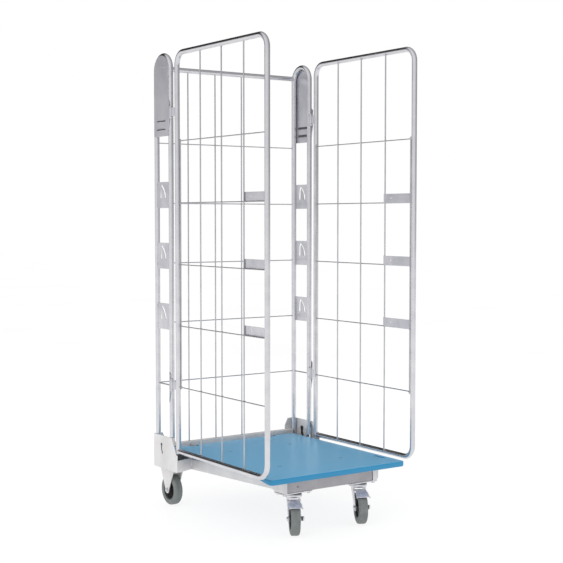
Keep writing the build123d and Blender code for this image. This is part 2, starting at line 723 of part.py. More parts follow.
def build_deck_panel():
    """Moulded deck with a rounded top edge, two rear hinge notches and a recess at each side."""
    with BuildPart() as deck:
        with BuildSketch(Plane.XY.offset(DECK_BOTTOM_Z)) as outline:
            with Locations((0, DECK_FRONT_Y)):
                Rectangle(
                    2 * DECK_HALF, DECK_REAR_Y - DECK_FRONT_Y, align=(Align.CENTER, Align.MIN)
                )
            fillet(outline.vertices(), DECK_CORNER_R)
        extrude(amount=DECK_T)
        # the long sides are undercut, so that only a thin edge shows below the gates
        undercut_front = DECK_FRONT_Y + DECK_CORNER_R
        with BuildSketch(Plane.XZ.offset(-undercut_front)):
            rise, run = DECK_UNDERCUT
            for side in (LEFT, RIGHT):
                with BuildLine():
                    Polyline(
                        (side * DECK_HALF, DECK_BOTTOM_Z),
                        (side * DECK_HALF, DECK_BOTTOM_Z + rise),
                        (side * (DECK_HALF - run), DECK_BOTTOM_Z),
                        close=True,
                    )
                make_face()
        extrude(amount=undercut_front - DECK_REAR_Y, mode=Mode.SUBTRACT)
        chamfer(deck.faces().sort_by(Axis.Z)[0].edges().sort_by(Axis.Y)[0], DECK_DRAFT)
        fillet(deck.faces().sort_by(Axis.Z)[-1].edges(), DECK_TOP_ROUND)
        for side in (LEFT, RIGHT):
            notch_front = DECK_PIVOT_Y - 2 * DECK_EYE_R
            block(
                (side * DECK_HINGE_X - DECK_NOTCH / 2, notch_front, DECK_BOTTOM_Z),
                (side * DECK_HINGE_X + DECK_NOTCH / 2, DECK_REAR_Y + 1, DECK_TOP_Z),
                Mode.SUBTRACT,
            )
        with BuildSketch(Plane.XY.offset(DECK_TOP_Z)):
            with Locations((RECESS_X, RECESS_Y), (-RECESS_X, RECESS_Y)):
                SlotOverall(RECESS_LENGTH, RECESS_WIDTH, rotation=90)
        extrude(amount=-RECESS_DEPTH, mode=Mode.SUBTRACT)
        for x in (-STIFFENER_X, STIFFENER_X):
            for y in SCREW_Y:
                bar((x, y, DECK_BOTTOM_Z - 1), (x, y, DECK_TOP_Z), SCREW_R + SCREW_CLEARANCE, Mode.SUBTRACT)
                head_z = DECK_TOP_Z - SCREW_HEAD_T
                bar((x, y, head_z), (x, y, DECK_TOP_Z), SCREW_HEAD_R + SCREW_SINK, Mode.SUBTRACT)
    save(deck, "deck_panel")


def build_deck_fittings():
    """Under-deck channels, the screws that hold them, hinge arms and the two catch clips."""
    with BuildPart() as channels:
        for x in (-STIFFENER_X, STIFFENER_X):
            front, rear = BEAM_FRONT_Y + 1, DECK_PIVOT_Y - 4 * DECK_EYE_R
            low, high = DECK_BOTTOM_Z - STIFFENER_DEPTH, DECK_BOTTOM_Z
            block((x - STIFFENER_HALF, front, low), (x + STIFFENER_HALF, rear, high))
            block(
                (x - STIFFENER_HALF + SHEET_T, front, low),
                (x + STIFFENER_HALF - SHEET_T, rear, high - SHEET_T),
                Mode.SUBTRACT,
            )
            for y in SCREW_Y:
                bar((x, y, low), (x, y, high), SCREW_R + SCREW_CLEARANCE, Mode.SUBTRACT)
    save(channels, "deck_channels")

    with BuildPart() as screws:
        for x in (-STIFFENER_X, STIFFENER_X):
            for y in SCREW_Y:
                head_z = DECK_TOP_Z - SCREW_HEAD_T
                nut_z = DECK_BOTTOM_Z - SHEET_T
                bar((x, y, nut_z - SCREW_HEAD_T), (x, y, DECK_TOP_Z - SCREW_SINK), SCREW_R)
                bar((x, y, head_z), (x, y, DECK_TOP_Z - SCREW_SINK), SCREW_HEAD_R)
                bar((x, y, nut_z - SCREW_HEAD_T), (x, y, nut_z), SCREW_HEAD_R)
    save(screws, "deck_screws")

    pivot = (DECK_PIVOT_Y, DECK_PIVOT_Z)
    with BuildPart() as arms:
        for x in (-DECK_HINGE_X, DECK_HINGE_X):
            block(
                (x - CHEEK_OUT, DECK_PIVOT_Y - 10 * DECK_EYE_R, DECK_BOTTOM_Z - SHEET_T),
                (x + CHEEK_OUT, DECK_PIVOT_Y - SHEET_T, DECK_BOTTOM_Z),
            )
            for cheek_x in (x - CHEEK_OUT, x + CHEEK_OUT - SHEET_T):
                with BuildSketch(Plane.YZ.offset(cheek_x)):
                    with Locations(pivot):
                        Circle(DECK_EYE_R)
                    with Locations((DECK_PIVOT_Y - 1.5 * DECK_EYE_R, DECK_BOTTOM_Z - SHEET_T / 2)):
                        Rectangle(DECK_EYE_R / 2, SHEET_T)
                    make_hull()
                    with Locations(pivot):
                        Circle(DECK_BORE_R, mode=Mode.SUBTRACT)
                extrude(amount=SHEET_T)
    save(arms, "deck_hinge_arms")

    with BuildPart() as clips:
        for side in (LEFT, RIGHT):
            x, y = side * RECESS_X, RECESS_Y + RECESS_LENGTH / 2 - CLIP_LENGTH / 2
            low = DECK_TOP_Z - RECESS_DEPTH
            block(
                (x - CLIP_WIDTH / 2, y - CLIP_LENGTH / 2, low),
                (x + CLIP_WIDTH / 2, y + CLIP_LENGTH / 2 - SHEET_T, low + SHEET_T),
            )
    save(clips, "deck_clips")


def build_deck_hinges():
    """Fixed lugs on the rear beam, and the headed pins that the deck turns on."""
    pivot = (DECK_PIVOT_Y, DECK_PIVOT_Z)
    with BuildPart() as lugs:
        for x in (-DECK_HINGE_X, DECK_HINGE_X):
            with BuildSketch(Plane.YZ.offset(x - LUG_HALF)):
                with Locations(pivot):
                    Circle(DECK_EYE_R)
                with Locations((REAR_BEAM_FRONT_Y, DECK_PIVOT_Z)):
                    Rectangle(SHEET_T, 3 * DECK_EYE_R, align=(Align.MAX, Align.CENTER))
                make_hull()
                with Locations(pivot):
                    Circle(DECK_BORE_R, mode=Mode.SUBTRACT)
            extrude(amount=2 * LUG_HALF)
    save(lugs, "deck_hinge_lugs")

    with BuildPart() as pins:
        for x in (-DECK_HINGE_X, DECK_HINGE_X):
            inner = CHEEK_OUT + CHEEK_GAP
            outer = inner + SHEET_T
            bar((x - outer, *pivot), (x + outer, *pivot), DECK_PIN_R)
            bar((x - outer, *pivot), (x - inner, *pivot), DECK_PIN_HEAD_R)
            bar((x + inner, *pivot), (x + outer, *pivot), DECK_PIN_HEAD_R)
    save(pins, "deck_pivot_pins")


# ------------------------------------------------------------------ casters


def caster_frame(x, y, turn):
    """Frame on the floor below a caster's plate: its wheel rolls along this frame's own Y."""
    turn = radians(turn)
    return Plane(origin=(x, y, 0), x_dir=(cos(turn), sin(turn), 0), z_dir=(0, 0, 1))


def side_plane(frame, offset):
    """Upright plane along the rolling direction, offset along the axle. Its Y is up."""
    origin = frame.from_local_coords(Vector(offset, 0, 0))
    return Plane(origin=origin, x_dir=frame.y_dir, z_dir=frame.x_dir)


def axle_plane(frame, trail):
    """Upright plane through the axle: its X is along the axle and its Y is up."""
    origin = frame.from_local_coords(Vector(0, -trail, WHEEL_R))
    return Plane(origin=origin, x_dir=frame.x_dir, z_dir=-frame.y_dir)


def place(frame, *point):
    """A point of a caster's own frame, in the object's frame."""
    return tuple(frame.from_local_coords(Vector(*point)))


def build_wheel(frame, trail, name):
    """Hub with a rim, web and boss, and the solid tyre round it."""
    axle = axle_plane(frame, trail)
    spin = Axis(axle.origin, axle.x_dir)
    with BuildPart() as hub:
        with BuildSketch(axle):
            with BuildLine():
                Polyline(
                    (-FORK_GAP + HUB_PLAY, AXLE_BORE_R),
                    (-FORK_GAP + HUB_PLAY, BOSS_R - FORK_T),
                    (-RIM_HALF, BOSS_R),
                    (-WEB_HALF, BOSS_R + FORK_T),
                    (-WEB_HALF, RIM_R - 2 * RIM_LIP),
                    (-RIM_HALF, RIM_R - RIM_LIP),
                    (-RIM_HALF, RIM_R),
                    (RIM_HALF, RIM_R),
                    (RIM_HALF, RIM_R - RIM_LIP),
                    (WEB_HALF, RIM_R - 2 * RIM_LIP),
                    (WEB_HALF, BOSS_R + FORK_T),
                    (RIM_HALF, BOSS_R),
                    (FORK_GAP - HUB_PLAY, BOSS_R - FORK_T),
                    (FORK_GAP - HUB_PLAY, AXLE_BORE_R),
                    close=True,
                )
            make_face()
        revolve(axis=spin)
    save(hub, f"hub_{name}")

    with BuildPart() as tyre:
        with BuildSketch(axle):
            with BuildLine():
                Polyline(
                    (-RIM_HALF, RIM_R),
                    (-TREAD_HALF, RIM_R + (TREAD_HALF - RIM_HALF)),
                    (-TREAD_HALF, WHEEL_R),
                    (TREAD_HALF, WHEEL_R),
                    (TREAD_HALF, RIM_R + (TREAD_HALF - RIM_HALF)),
                    (RIM_HALF, RIM_R),
                    close=True,
                )
            section = make_face()
            fillet(section.vertices().group_by(Axis.Y)[-1], TREAD_ROUND)
        revolve(axis=spin)
    save(tyre, f"tyre_{name}")


def fork_leg_outline(top_front, top_rear, top_z, axle_y):
    """Corners of a fork leg that tapers from its crown to the axle, for the round end to join."""
    return [
        (top_front, top_z),
        (top_rear, top_z),
        (top_rear, top_z - FORK_SHOULDER),
        (axle_y + FORK_END_R, WHEEL_R),
        (axle_y - FORK_END_R, WHEEL_R),
        (top_front, top_z - FORK_SHOULDER),
    ]


def axle_bolt(frame, trail):
    """Axle bolt with a round head and a nut, clamped on the fork's legs."""
    inner = FORK_GAP + FORK_T
    outer = inner + BOLT_HEAD_T
    ends = [place(frame, n * outer, -trail, WHEEL_R) for n in (-1, 1)]
    faces = [place(frame, n * inner, -trail, WHEEL_R) for n in (-1, 1)]
    bar(*ends, AXLE_R)
    bar(ends[0], faces[0], BOLT_HEAD_R)
    bar(faces[1], ends[1], BOLT_HEAD_R)


def build_front_caster(side):
    """Swivel fork, axle and brake pedal of one front caster."""
    name = SIDE_NAME[side]
    frame = caster_frame(side * FRONT_CASTER_X, FRONT_CASTER_Y, FRONT_CASTER_TURN[side])
    corners = fork_leg_outline(CROWN_FRONT, CROWN_REAR, CROWN_Z, -TRAIL)
    with BuildPart() as fork:
        for leg_x in (-FORK_GAP - FORK_T, FORK_GAP):
            with BuildSketch(side_plane(frame, leg_x)):
                with BuildLine():
                    Polyline(*corners, close=True)
                make_face()
                with Locations((-TRAIL, WHEEL_R)):
                    Circle(FORK_END_R)
                    Circle(AXLE_R, mode=Mode.SUBTRACT)
                with Locations(PEDAL_PIVOT):
                    Circle(PEDAL_PIN_R, mode=Mode.SUBTRACT)
            extrude(amount=FORK_T)
        crown_mid_z = CROWN_Z - FORK_T / 2
        with BuildSketch(side_plane(frame, 0)):
            with BuildLine():
                Polyline((CROWN_FRONT, crown_mid_z), (CROWN_REAR, crown_mid_z))
            trace(line_width=FORK_T)
        extrude(amount=FORK_GAP + FORK_T, both=True)
        race_top = place(frame, 0, 0, RACE_TOP_Z)
        bar(place(frame, 0, 0, CROWN_Z), race_top, RACE_R)
        bar(place(frame, 0, 0, CROWN_Z - 2 * FORK_T), race_top, KINGPIN_BORE_R, Mode.SUBTRACT)
    save(fork, f"caster_fork_front_{name}")

    with BuildPart() as axle:
        axle_bolt(frame, TRAIL)
    save(axle, f"caster_axle_front_{name}")

    pivot_y, pivot_z = PEDAL_PIVOT
    knuckle = FORK_GAP - PEDAL_PLAY
    pin = FORK_GAP + FORK_T + PEDAL_PIN_OVERHANG
    with BuildPart() as pedal:
        with BuildSketch(side_plane(frame, 0)):
            with BuildLine():
                Polyline((pivot_y, pivot_z + PEDAL_T), PEDAL_KNEE, PEDAL_UNDER_KNEE)
            trace(line_width=PEDAL_T)
        extrude(amount=knuckle, both=True)
        with BuildSketch(side_plane(frame, 0)):
            with BuildLine():
                Polyline(PEDAL_KNEE, PEDAL_TOE, PEDAL_LIP)
            trace(line_width=PEDAL_T)
        extrude(amount=PEDAL_HALF, both=True)
        pivot_ends = [place(frame, n * knuckle, *PEDAL_PIVOT) for n in (-1, 1)]
        pin_ends = [place(frame, n * pin, *PEDAL_PIVOT) for n in (-1, 1)]
        bar(*pivot_ends, 2 * PEDAL_PIN_R)
        bar(*pin_ends, PEDAL_PIN_R - RUNNING_FIT)
    save(pedal, f"brake_pedal_{name}")
    build_wheel(frame, TRAIL, f"front_{name}")


def build_rear_caster(side):
    """Rigid fork of one rear caster, with its plate."""
    name = SIDE_NAME[side]
    frame = caster_frame(side * REAR_CASTER_X, REAR_CASTER_Y, 0)
    plate_low = BASE_BOTTOM_Z - FORK_T
    corners = fork_leg_outline(-REAR_FORK_HALF, REAR_FORK_HALF, BASE_BOTTOM_Z, 0)
    with BuildPart() as fork:
        for leg_x in (-FORK_GAP - FORK_T, FORK_GAP):
            with BuildSketch(side_plane(frame, leg_x)):
                with BuildLine():
                    Polyline(*corners, close=True)
                make_face()
                with Locations((0, WHEEL_R)):
                    Circle(FORK_END_R)
                    Circle(AXLE_R, mode=Mode.SUBTRACT)
            extrude(amount=FORK_T)
        half_x, half_y = REAR_PLATE[0] / 2, REAR_PLATE[1] / 2
        block(
            place(frame, -half_x, -half_y, plate_low),
            place(frame, half_x, half_y, BASE_BOTTOM_Z),
        )
        with Locations(place(frame, 0, 0, BASE_BOTTOM_Z)):
            with GridLocations(*REAR_BOLT_SPACING, 2, 2):
                Cylinder(CASTER_BOLT_R, 4 * FORK_T, mode=Mode.SUBTRACT)
    save(fork, f"caster_fork_rear_{name}")
    build_wheel(frame, 0, f"rear_{name}")


def build_caster_hardware():
    """Top plates, kingpins, rear axles and plate bolts: the parts that don't turn."""
    with BuildPart() as plates:
        for side in (LEFT, RIGHT):
            mid_z = BASE_BOTTOM_Z - CASTER_PLATE_T / 2
            with Locations((side * FRONT_CASTER_X, FRONT_CASTER_Y, mid_z)):
                Box(*CASTER_PLATE, CASTER_PLATE_T)
                with GridLocations(*CASTER_BOLT_SPACING, 2, 2):
                    Cylinder(CASTER_BOLT_R, 2 * CASTER_PLATE_T, mode=Mode.SUBTRACT)
    save(plates, "caster_top_plates")

    with BuildPart() as kingpins:
        for side in (LEFT, RIGHT):
            x, y = side * FRONT_CASTER_X, FRONT_CASTER_Y
            low = CROWN_Z - FORK_T - KINGPIN_PLAY
            bar((x, y, low), (x, y, BASE_BOTTOM_Z - CASTER_PLATE_T), KINGPIN_R)
            bar((x, y, low - FORK_T), (x, y, low), KINGPIN_HEAD_R)
    save(kingpins, "caster_kingpins")

    with BuildPart() as axles:
        for side in (LEFT, RIGHT):
            axle_bolt(caster_frame(side * REAR_CASTER_X, REAR_CASTER_Y, 0), 0)
    save(axles, "caster_axles_rear")

    front_pattern = (FRONT_CASTER_X, FRONT_CASTER_Y, CASTER_BOLT_SPACING)
    rear_pattern = (REAR_CASTER_X, REAR_CASTER_Y, REAR_BOLT_SPACING)
    front_face = BASE_BOTTOM_Z - CASTER_PLATE_T
    rear_face = BASE_BOTTOM_Z - FORK_T
    with BuildPart() as bolts:
        for side in (LEFT, RIGHT):
            for (x, y, spacing), face in ((front_pattern, front_face), (rear_pattern, rear_face)):
                with Locations((side * x, y, face)):
                    with GridLocations(*spacing, 2, 2):
                        Cylinder(CASTER_BOLT_R, PLATE_BOLT_REACH, align=STAND)
                        Cylinder(PLATE_BOLT_HEAD_R, PLATE_BOLT_HEAD_T, align=HANG)
    save(bolts, "caster_bolts")


build_back_mesh()
build_front_beam()
build_corner_brackets()
build_rear_beam()
build_hinge_pins()
build_deck_panel()
build_deck_fittings()
build_deck_hinges()
build_caster_hardware()
for side in (LEFT, RIGHT):
    build_column(side)
    build_top_plate(side)
    build_hook_plates(side)
    build_side_rail(side)
    build_corner_housing(side)
    build_hinge_brackets(side)
    build_hinge_eyes(side)
    build_gate_frame(side)
    build_gate_mesh(side)
    build_gate_plates(side)
    build_front_caster(side)
    build_rear_caster(side)
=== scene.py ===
import json
from math import cos, pi, radians, sin, tau
from random import Random

import bmesh
import bpy
from mathutils import Matrix, Vector


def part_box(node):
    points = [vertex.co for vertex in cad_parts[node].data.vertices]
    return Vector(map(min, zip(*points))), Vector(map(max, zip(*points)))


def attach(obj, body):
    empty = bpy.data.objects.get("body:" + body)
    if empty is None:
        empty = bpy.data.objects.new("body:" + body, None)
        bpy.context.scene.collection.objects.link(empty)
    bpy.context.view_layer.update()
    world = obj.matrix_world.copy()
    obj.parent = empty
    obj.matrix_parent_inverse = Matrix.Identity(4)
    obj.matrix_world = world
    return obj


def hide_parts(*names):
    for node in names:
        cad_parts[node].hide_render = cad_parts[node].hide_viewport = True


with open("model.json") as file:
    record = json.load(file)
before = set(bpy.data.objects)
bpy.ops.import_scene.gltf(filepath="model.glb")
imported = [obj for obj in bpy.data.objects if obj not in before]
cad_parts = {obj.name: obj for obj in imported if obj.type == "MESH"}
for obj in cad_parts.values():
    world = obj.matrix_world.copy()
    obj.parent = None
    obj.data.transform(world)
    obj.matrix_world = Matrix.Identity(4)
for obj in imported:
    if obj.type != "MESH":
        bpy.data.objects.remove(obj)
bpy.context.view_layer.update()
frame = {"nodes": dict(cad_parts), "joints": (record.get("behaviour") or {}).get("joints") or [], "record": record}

# Looks for a roll cage container: zinc tube, wire and sheet, a moulded deck, wheels and fasteners.
# Metres, in the frame's own axes: +Z is up and the open front faces -Y.

MM = 0.001
SIDES = {"left": -1, "right": 1}
SMOOTH_ANGLE = radians(38)
DECK_LOW, DECK_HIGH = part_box("deck_panel")

# ------------------------------------------------------------------ materials


class Look:
    """One node material, built by short calls. Textures follow the object's own metres."""

    def __init__(self, name):
        self.material = bpy.data.materials.new(name)
        self.material.use_nodes = True
        self.tree = self.material.node_tree
        self.tree.nodes.clear()
        self.where = self.add("ShaderNodeTexCoord").outputs["Object"]

    def add(self, kind, inputs=None, **settings):
        node = self.tree.nodes.new(kind)
        for key, value in settings.items():
            setattr(node, key, value)
        for key, value in (inputs or {}).items():
            if isinstance(value, bpy.types.NodeSocket):
                self.tree.links.new(value, node.inputs[key])
            else:
                node.inputs[key].default_value = value
        return node

    def noise(self, scale, detail=4.0, stretch=(1.0, 1.0, 1.0)):
        mapped = self.add("ShaderNodeMapping", {"Vector": self.where, "Scale": stretch})
        inputs = {"Vector": mapped.outputs[0], "Scale": scale, "Detail": detail}
        return self.add("ShaderNodeTexNoise", inputs).outputs[0]

    def spread(self, value, low, high, to_low, to_high):
        """The value, clamped between low and high, moved onto another range."""
        inputs = {"Value": value, 1: low, 2: high, 3: to_low, 4: to_high}
        return self.add("ShaderNodeMapRange", inputs).outputs[0]

    def multiply(self, a, b):
        return self.add("ShaderNodeMath", {0: a, 1: b}, operation="MULTIPLY").outputs[0]

    def plus(self, a, b):
        return self.add("ShaderNodeMath", {0: a, 1: b}, operation="ADD").outputs[0]

    def mix(self, factor, a, b):
        a, b = [(*c, 1.0) if isinstance(c, tuple) else c for c in (a, b)]
        node = self.add("ShaderNodeMix", {0: factor, 6: a, 7: b}, data_type="RGBA")
        return node.outputs[2]

    def rounded(self, radius):
        return self.add("ShaderNodeBevel", {"Radius": radius}, samples=4).outputs[0]

    def edges(self, radius):
        """1 along sharp edges, falling to 0 on the open faces."""
        plain = self.add("ShaderNodeNewGeometry").outputs["Normal"]
        inputs = {0: self.rounded(radius), 1: plain}
        dot = self.add("ShaderNodeVectorMath", inputs, operation="DOT_PRODUCT").outputs["Value"]
        return self.spread(dot, 0.78, 0.985, 1.0, 0.0)

    def surface(self, color, roughness, height, depth, edge_radius, extra=None):
        """Closes the material: one principled surface with bumps and softened edges."""
        normal = self.rounded(edge_radius)
        bump = self.add(
            "ShaderNodeBump", {"Height": height, "Distance": depth, "Strength": 1.0, "Normal": normal}
        )
        inputs = {"Base Color": color, "Roughness": roughness, "Normal": bump.outputs[0]}
        inputs.update(extra or {})
        shader = self.add("ShaderNodeBsdfPrincipled", inputs)
        self.add("ShaderNodeOutputMaterial", {"Surface": shader.outputs[0]})
        return self.material


def zinc(name, pale, dull, gloss, grain, blotch=22.0, depth=0.00003, edge=0.0008, wear=0.35, metal=1.0):
    """Plated steel: cloudy tone, small stains, fine rubs and brighter worn edges."""
    look = Look(name)
    clouds = look.spread(look.noise(blotch, 5.0), 0.35, 0.68, 0.0, 1.0)
    color = look.mix(clouds, pale, dull)
    specks = look.spread(look.noise(grain * 6, 2.0), 0.68, 0.76, 0.0, 0.14)
    color = look.mix(specks, color, tuple(0.55 * c for c in dull))
    worn = look.multiply(look.edges(2 * edge), look.spread(look.noise(grain), 0.35, 0.6, 0.1, wear))
    color = look.mix(worn, color, (0.93, 0.93, 0.95))
    rubs = look.noise(grain, 6.0, (1.0, 1.0, 0.12))
    rough = look.spread(rubs, 0.3, 0.7, gloss * 0.85, gloss * 1.2)
    rough = look.plus(rough, look.multiply(clouds, 0.05))
    return look.surface(color, rough, rubs, depth, edge, {"Metallic": metal})


def plastic_blue():
    """Moulded polypropylene: fine leather grain, flow marks, scuffs, and a painted sheen that makes the top face
    paler.
    """
    look = Look("deck_blue_plastic")
    flow = look.spread(look.noise(3.0, 3.0, (1.0, 0.35, 1.0)), 0.3, 0.7, 0.0, 1.0)
    color = look.mix(flow, (0.018, 0.225, 0.430), (0.024, 0.255, 0.480))
    height = look.add("ShaderNodeSeparateXYZ", {0: look.where}).outputs["Z"]
    # painted sheen: faces within a millimetre or so of the top are mixed to a paler blue, standing in for the
    # mirrored white room
    painted_top_sheen = look.spread(height, DECK_HIGH.z - 1.2 * MM, DECK_HIGH.z - 0.2 * MM, 0.0, 1.0)
    color = look.mix(painted_top_sheen, color, (0.150, 0.385, 0.590))
    scuffs = look.spread(look.noise(38.0, 6.0, (0.25, 1.0, 1.0)), 0.62, 0.74, 0.0, 0.06)
    color = look.mix(scuffs, color, (0.14, 0.40, 0.60))
    worn = look.multiply(look.edges(0.0022), look.spread(look.noise(55.0), 0.4, 0.62, 0.05, 0.5))
    color = look.mix(worn, color, (0.22, 0.52, 0.74))
    grain = look.noise(900.0, 3.0)
    rough = look.plus(look.spread(flow, 0.0, 1.0, 0.27, 0.33), look.multiply(scuffs, 0.8))
    return look.surface(color, rough, grain, 0.00003, 0.0012, {"Specular IOR Level": 0.45})


def plastic_black():
    """Nylon hub: matt, slightly dusty in its corners."""
    look = Look("hub_black_nylon")
    dust = look.spread(look.noise(60.0, 5.0), 0.45, 0.7, 0.0, 0.5)
    color = look.mix(dust, (0.010, 0.010, 0.012), (0.045, 0.045, 0.047))
    worn = look.multiply(look.edges(0.001), 0.35)
    color = look.mix(worn, color, (0.16, 0.16, 0.17))
    grain = look.noise(700.0, 3.0)
    rough = look.spread(dust, 0.0, 0.5, 0.42, 0.6)
    return look.surface(color, rough, grain, 0.00005, 0.0006)


def rubber():
    """Grey solid tyre: chalky, with rolled-in dust and scuffed shoulders."""
    look = Look("tyre_grey_rubber")
    chalk = look.spread(look.noise(45.0, 6.0), 0.32, 0.7, 0.0, 1.0)
    color = look.mix(chalk, (0.150, 0.164, 0.164), (0.205, 0.220, 0.216))
    grit = look.spread(look.noise(420.0, 3.0), 0.6, 0.72, 0.0, 0.45)
    color = look.mix(grit, color, (0.095, 0.102, 0.102))
    worn = look.multiply(look.edges(0.002), 0.3)
    color = look.mix(worn, color, (0.36, 0.37, 0.36))
    pores = look.plus(look.noise(900.0, 4.0), look.multiply(look.noise(160.0, 3.0), 0.6))
    rough = look.spread(chalk, 0.0, 1.0, 0.62, 0.8)
    return look.surface(color, rough, pores, 0.00014, 0.001)


LOOKS = {
    "tube": zinc("zinc_tube", (0.70, 0.70, 0.72), (0.63, 0.63, 0.66), 0.20, 60.0),
    "wire": zinc("zinc_wire", (0.56, 0.56, 0.58), (0.48, 0.48, 0.51), 0.27, 90.0),
    "sheet": zinc("zinc_sheet", (0.68, 0.68, 0.71), (0.58, 0.58, 0.625), 0.34, 75.0, 14.0),
    "hardware": zinc("zinc_hardware", (0.78, 0.78, 0.80), (0.62, 0.62, 0.66), 0.34, 150.0, 40.0),
    "pedal": zinc(
        "zinc_pedal", (0.84, 0.83, 0.90), (0.56, 0.56, 0.66), 0.34, 110.0, 70.0, 0.00015, metal=0.55
    ),
    "deck_plastic": plastic_blue(),
    "tyre": rubber(),
    "hub": plastic_black(),
    "weld": zinc("weld_metal", (0.74, 0.74, 0.76), (0.36, 0.36, 0.40), 0.30, 260.0, 160.0, 0.00012),
    # louvre hoods: near-black zinc, painted shade inside the pressed slots
    "louvre": zinc("zinc_louvre_painted_shade", (0.20, 0.20, 0.22), (0.13, 0.13, 0.15), 0.55, 90.0, 30.0),
    "base": zinc(
        "zinc_base", (0.76, 0.75, 0.75), (0.67, 0.66, 0.66), 0.42, 75.0, 12.0, wear=0.2, metal=0.45
    ),
    # front beam: the base's zinc darkened, painted shade
    "beam": zinc(
        "zinc_beam_painted_shade", (0.43, 0.42, 0.44), (0.36, 0.35, 0.37), 0.40, 75.0, 12.0, wear=0.15, metal=0.6
    ),
}

# the base's heavy sheet is plated paler than the thin plates on the columns; its front beam gets a darker copy of
# the same zinc, which is painted shade
BASE_LOOKS = {
    "front_beam": "beam",
    "front_corner_brackets": "base",
    "rear_beam": "base",
    "side_rail_": "base",
    "corner_housing_": "base",
    "caster_fork_rear_": "base",
}


def look_for(node, slot):
    for start, look in BASE_LOOKS.items():
        if node.startswith(start):
            return LOOKS[look]
    return LOOKS[slot]


for row in frame["record"]["subparts"]:
    cad = frame["nodes"][row["node"]]
    cad.data.materials.clear()
    cad.data.materials.append(look_for(row["node"], row["material_slot"]))

# ------------------------------------------------------------------ mesh helpers


def loft(bm, rings, closed=False):
    """Quads between rings of points; closed joins the last ring to the first, else ends are capped."""
    loops = [[bm.verts.new(point) for point in ring] for ring in rings]
    pairs = list(zip(loops, loops[1:]))
    if closed:
        pairs.append((loops[-1], loops[0]))
    count = len(loops[0])
    for a, b in pairs:
        for k in range(count):
            after = (k + 1) % count
            bm.faces.new((a[k], a[after], b[after], b[k]))
    if not closed:
        bm.faces.new(reversed(loops[0]))
        bm.faces.new(loops[-1])


def lathe(bm, profile, place, segments=48):
    """Turns a closed profile of (along, radius) about the X axis of place."""
    rings = []
    for k in range(segments):
        angle = tau * k / segments
        ring = [place @ Vector((x, r * cos(angle), r * sin(angle))) for x, r in profile]
        rings.append(ring)
    loft(bm, rings, closed=True)


def tube(bm, points, radius, segments=10):
    """Round section carried along a line of points. radius may be a function of the share along."""
    rings = []
    side = None
    for k, point in enumerate(points):
        before, after = points[max(k - 1, 0)], points[min(k + 1, len(points) - 1)]
        ahead = (after - before).normalized()
        if side is None:
            side = ahead.orthogonal().normalized()
        side = (side - ahead * side.dot(ahead)).normalized()
        up = ahead.cross(side)
        r = radius(k / (len(points) - 1)) if callable(radius) else radius
        turns = [tau * n / segments for n in range(segments)]
        rings.append([point + side * r * cos(t) + up * r * sin(t) for t in turns])
    loft(bm, rings)


def slab(bm, outline, levels, place=Matrix.Identity(4)):
    """Stacks copies of an outline, each (height, inset) shrunk towards the outline's middle."""
    middle = sum((Vector(p) for p in outline), Vector((0, 0))) / len(outline)
    reach_x = max(abs(p[0] - middle.x) for p in outline)
    reach_y = max(abs(p[1] - middle.y) for p in outline)
    rings = []
    for height, inset in levels:
        sx, sy = 1 - inset / reach_x, 1 - inset / reach_y
        ring = []
        for x, y in outline:
            shrunk = Vector((middle.x + (x - middle.x) * sx, middle.y + (y - middle.y) * sy, height))
            ring.append(place @ shrunk)
        rings.append(ring)
    loft(bm, rings)


def rounded_box(low, high, radius, steps=6):
    """Outline of a rectangle with round corners, counter-clockwise."""
    points = []
    corners = [(high[0], high[1], 0), (low[0], high[1], 1), (low[0], low[1], 2), (high[0], low[1], 3)]
    for x, y, quarter in corners:
        cx = x - radius if quarter in (0, 3) else x + radius
        cy = y - radius if quarter in (0, 1) else y + radius
        for n in range(steps + 1):
            angle = pi / 2 * (quarter + n / steps)
            points.append((cx + radius * cos(angle), cy + radius * sin(angle)))
    return points


def piece(bm, name, body, slot, stands_for=(), look=None):
    """Turns a finished bmesh into a piece that rides on a body."""
    bmesh.ops.remove_doubles(bm, verts=bm.verts, dist=1e-7)
    bmesh.ops.recalc_face_normals(bm, faces=bm.faces)
    mesh = bpy.data.meshes.new(name)
    bm.to_mesh(mesh)
    bm.free()
    for polygon in mesh.polygons:
        polygon.use_smooth = True
    mesh.set_sharp_from_angle(angle=SMOOTH_ANGLE)
    obj = bpy.data.objects.new(name, mesh)
    bpy.context.scene.collection.objects.link(obj)
    mesh.materials.append(look or LOOKS[slot])
    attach(obj, body)
    if stands_for:
        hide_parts(*stands_for)
    return obj


def apply_modifiers(obj):
    """Puts the result of an object's modifiers into its own mesh."""
    graph = bpy.context.evaluated_depsgraph_get()
    mesh = bpy.data.meshes.new_from_object(obj.evaluated_get(graph))
    obj.modifiers.clear()
    obj.data = mesh
    return obj


def cut(obj, cutter_bm):
    """Takes a cutter's volume out of an object."""
    mesh = bpy.data.meshes.new("cutter")
    bmesh.ops.recalc_face_normals(cutter_bm, faces=cutter_bm.faces)
    cutter_bm.to_mesh(mesh)
    cutter_bm.free()
    cutter = bpy.data.objects.new("cutter", mesh)
    bpy.context.scene.collection.objects.link(cutter)
    modifier = obj.modifiers.new("cut", "BOOLEAN")
    modifier.operation = "DIFFERENCE"
    modifier.solver = "EXACT"
    modifier.object = cutter
    apply_modifiers(obj)
    bpy.data.objects.remove(cutter)


def joint(name):
    return next(j for j in frame["joints"] if j["name"] == name)


def axle_place(joint_name):
    """Matrix at a wheel's centre: X along its axle, Y along its rolling direction, Z up."""
    j = joint(joint_name)
    x = Vector(j["axis"]).normalized()
    y = Vector((-x.y, x.x, 0))
    basis = Matrix((x, y, Vector((0, 0, 1)))).transposed().to_4x4()
    return Matrix.Translation(Vector(j["pos_m"])) @ basis


def evenly(low, high, count):
    """Positions of equally spaced bars, from the first to the last."""
    return [low + (high - low) * n / (count - 1) for n in range(count)]


# ------------------------------------------------------------------ deck

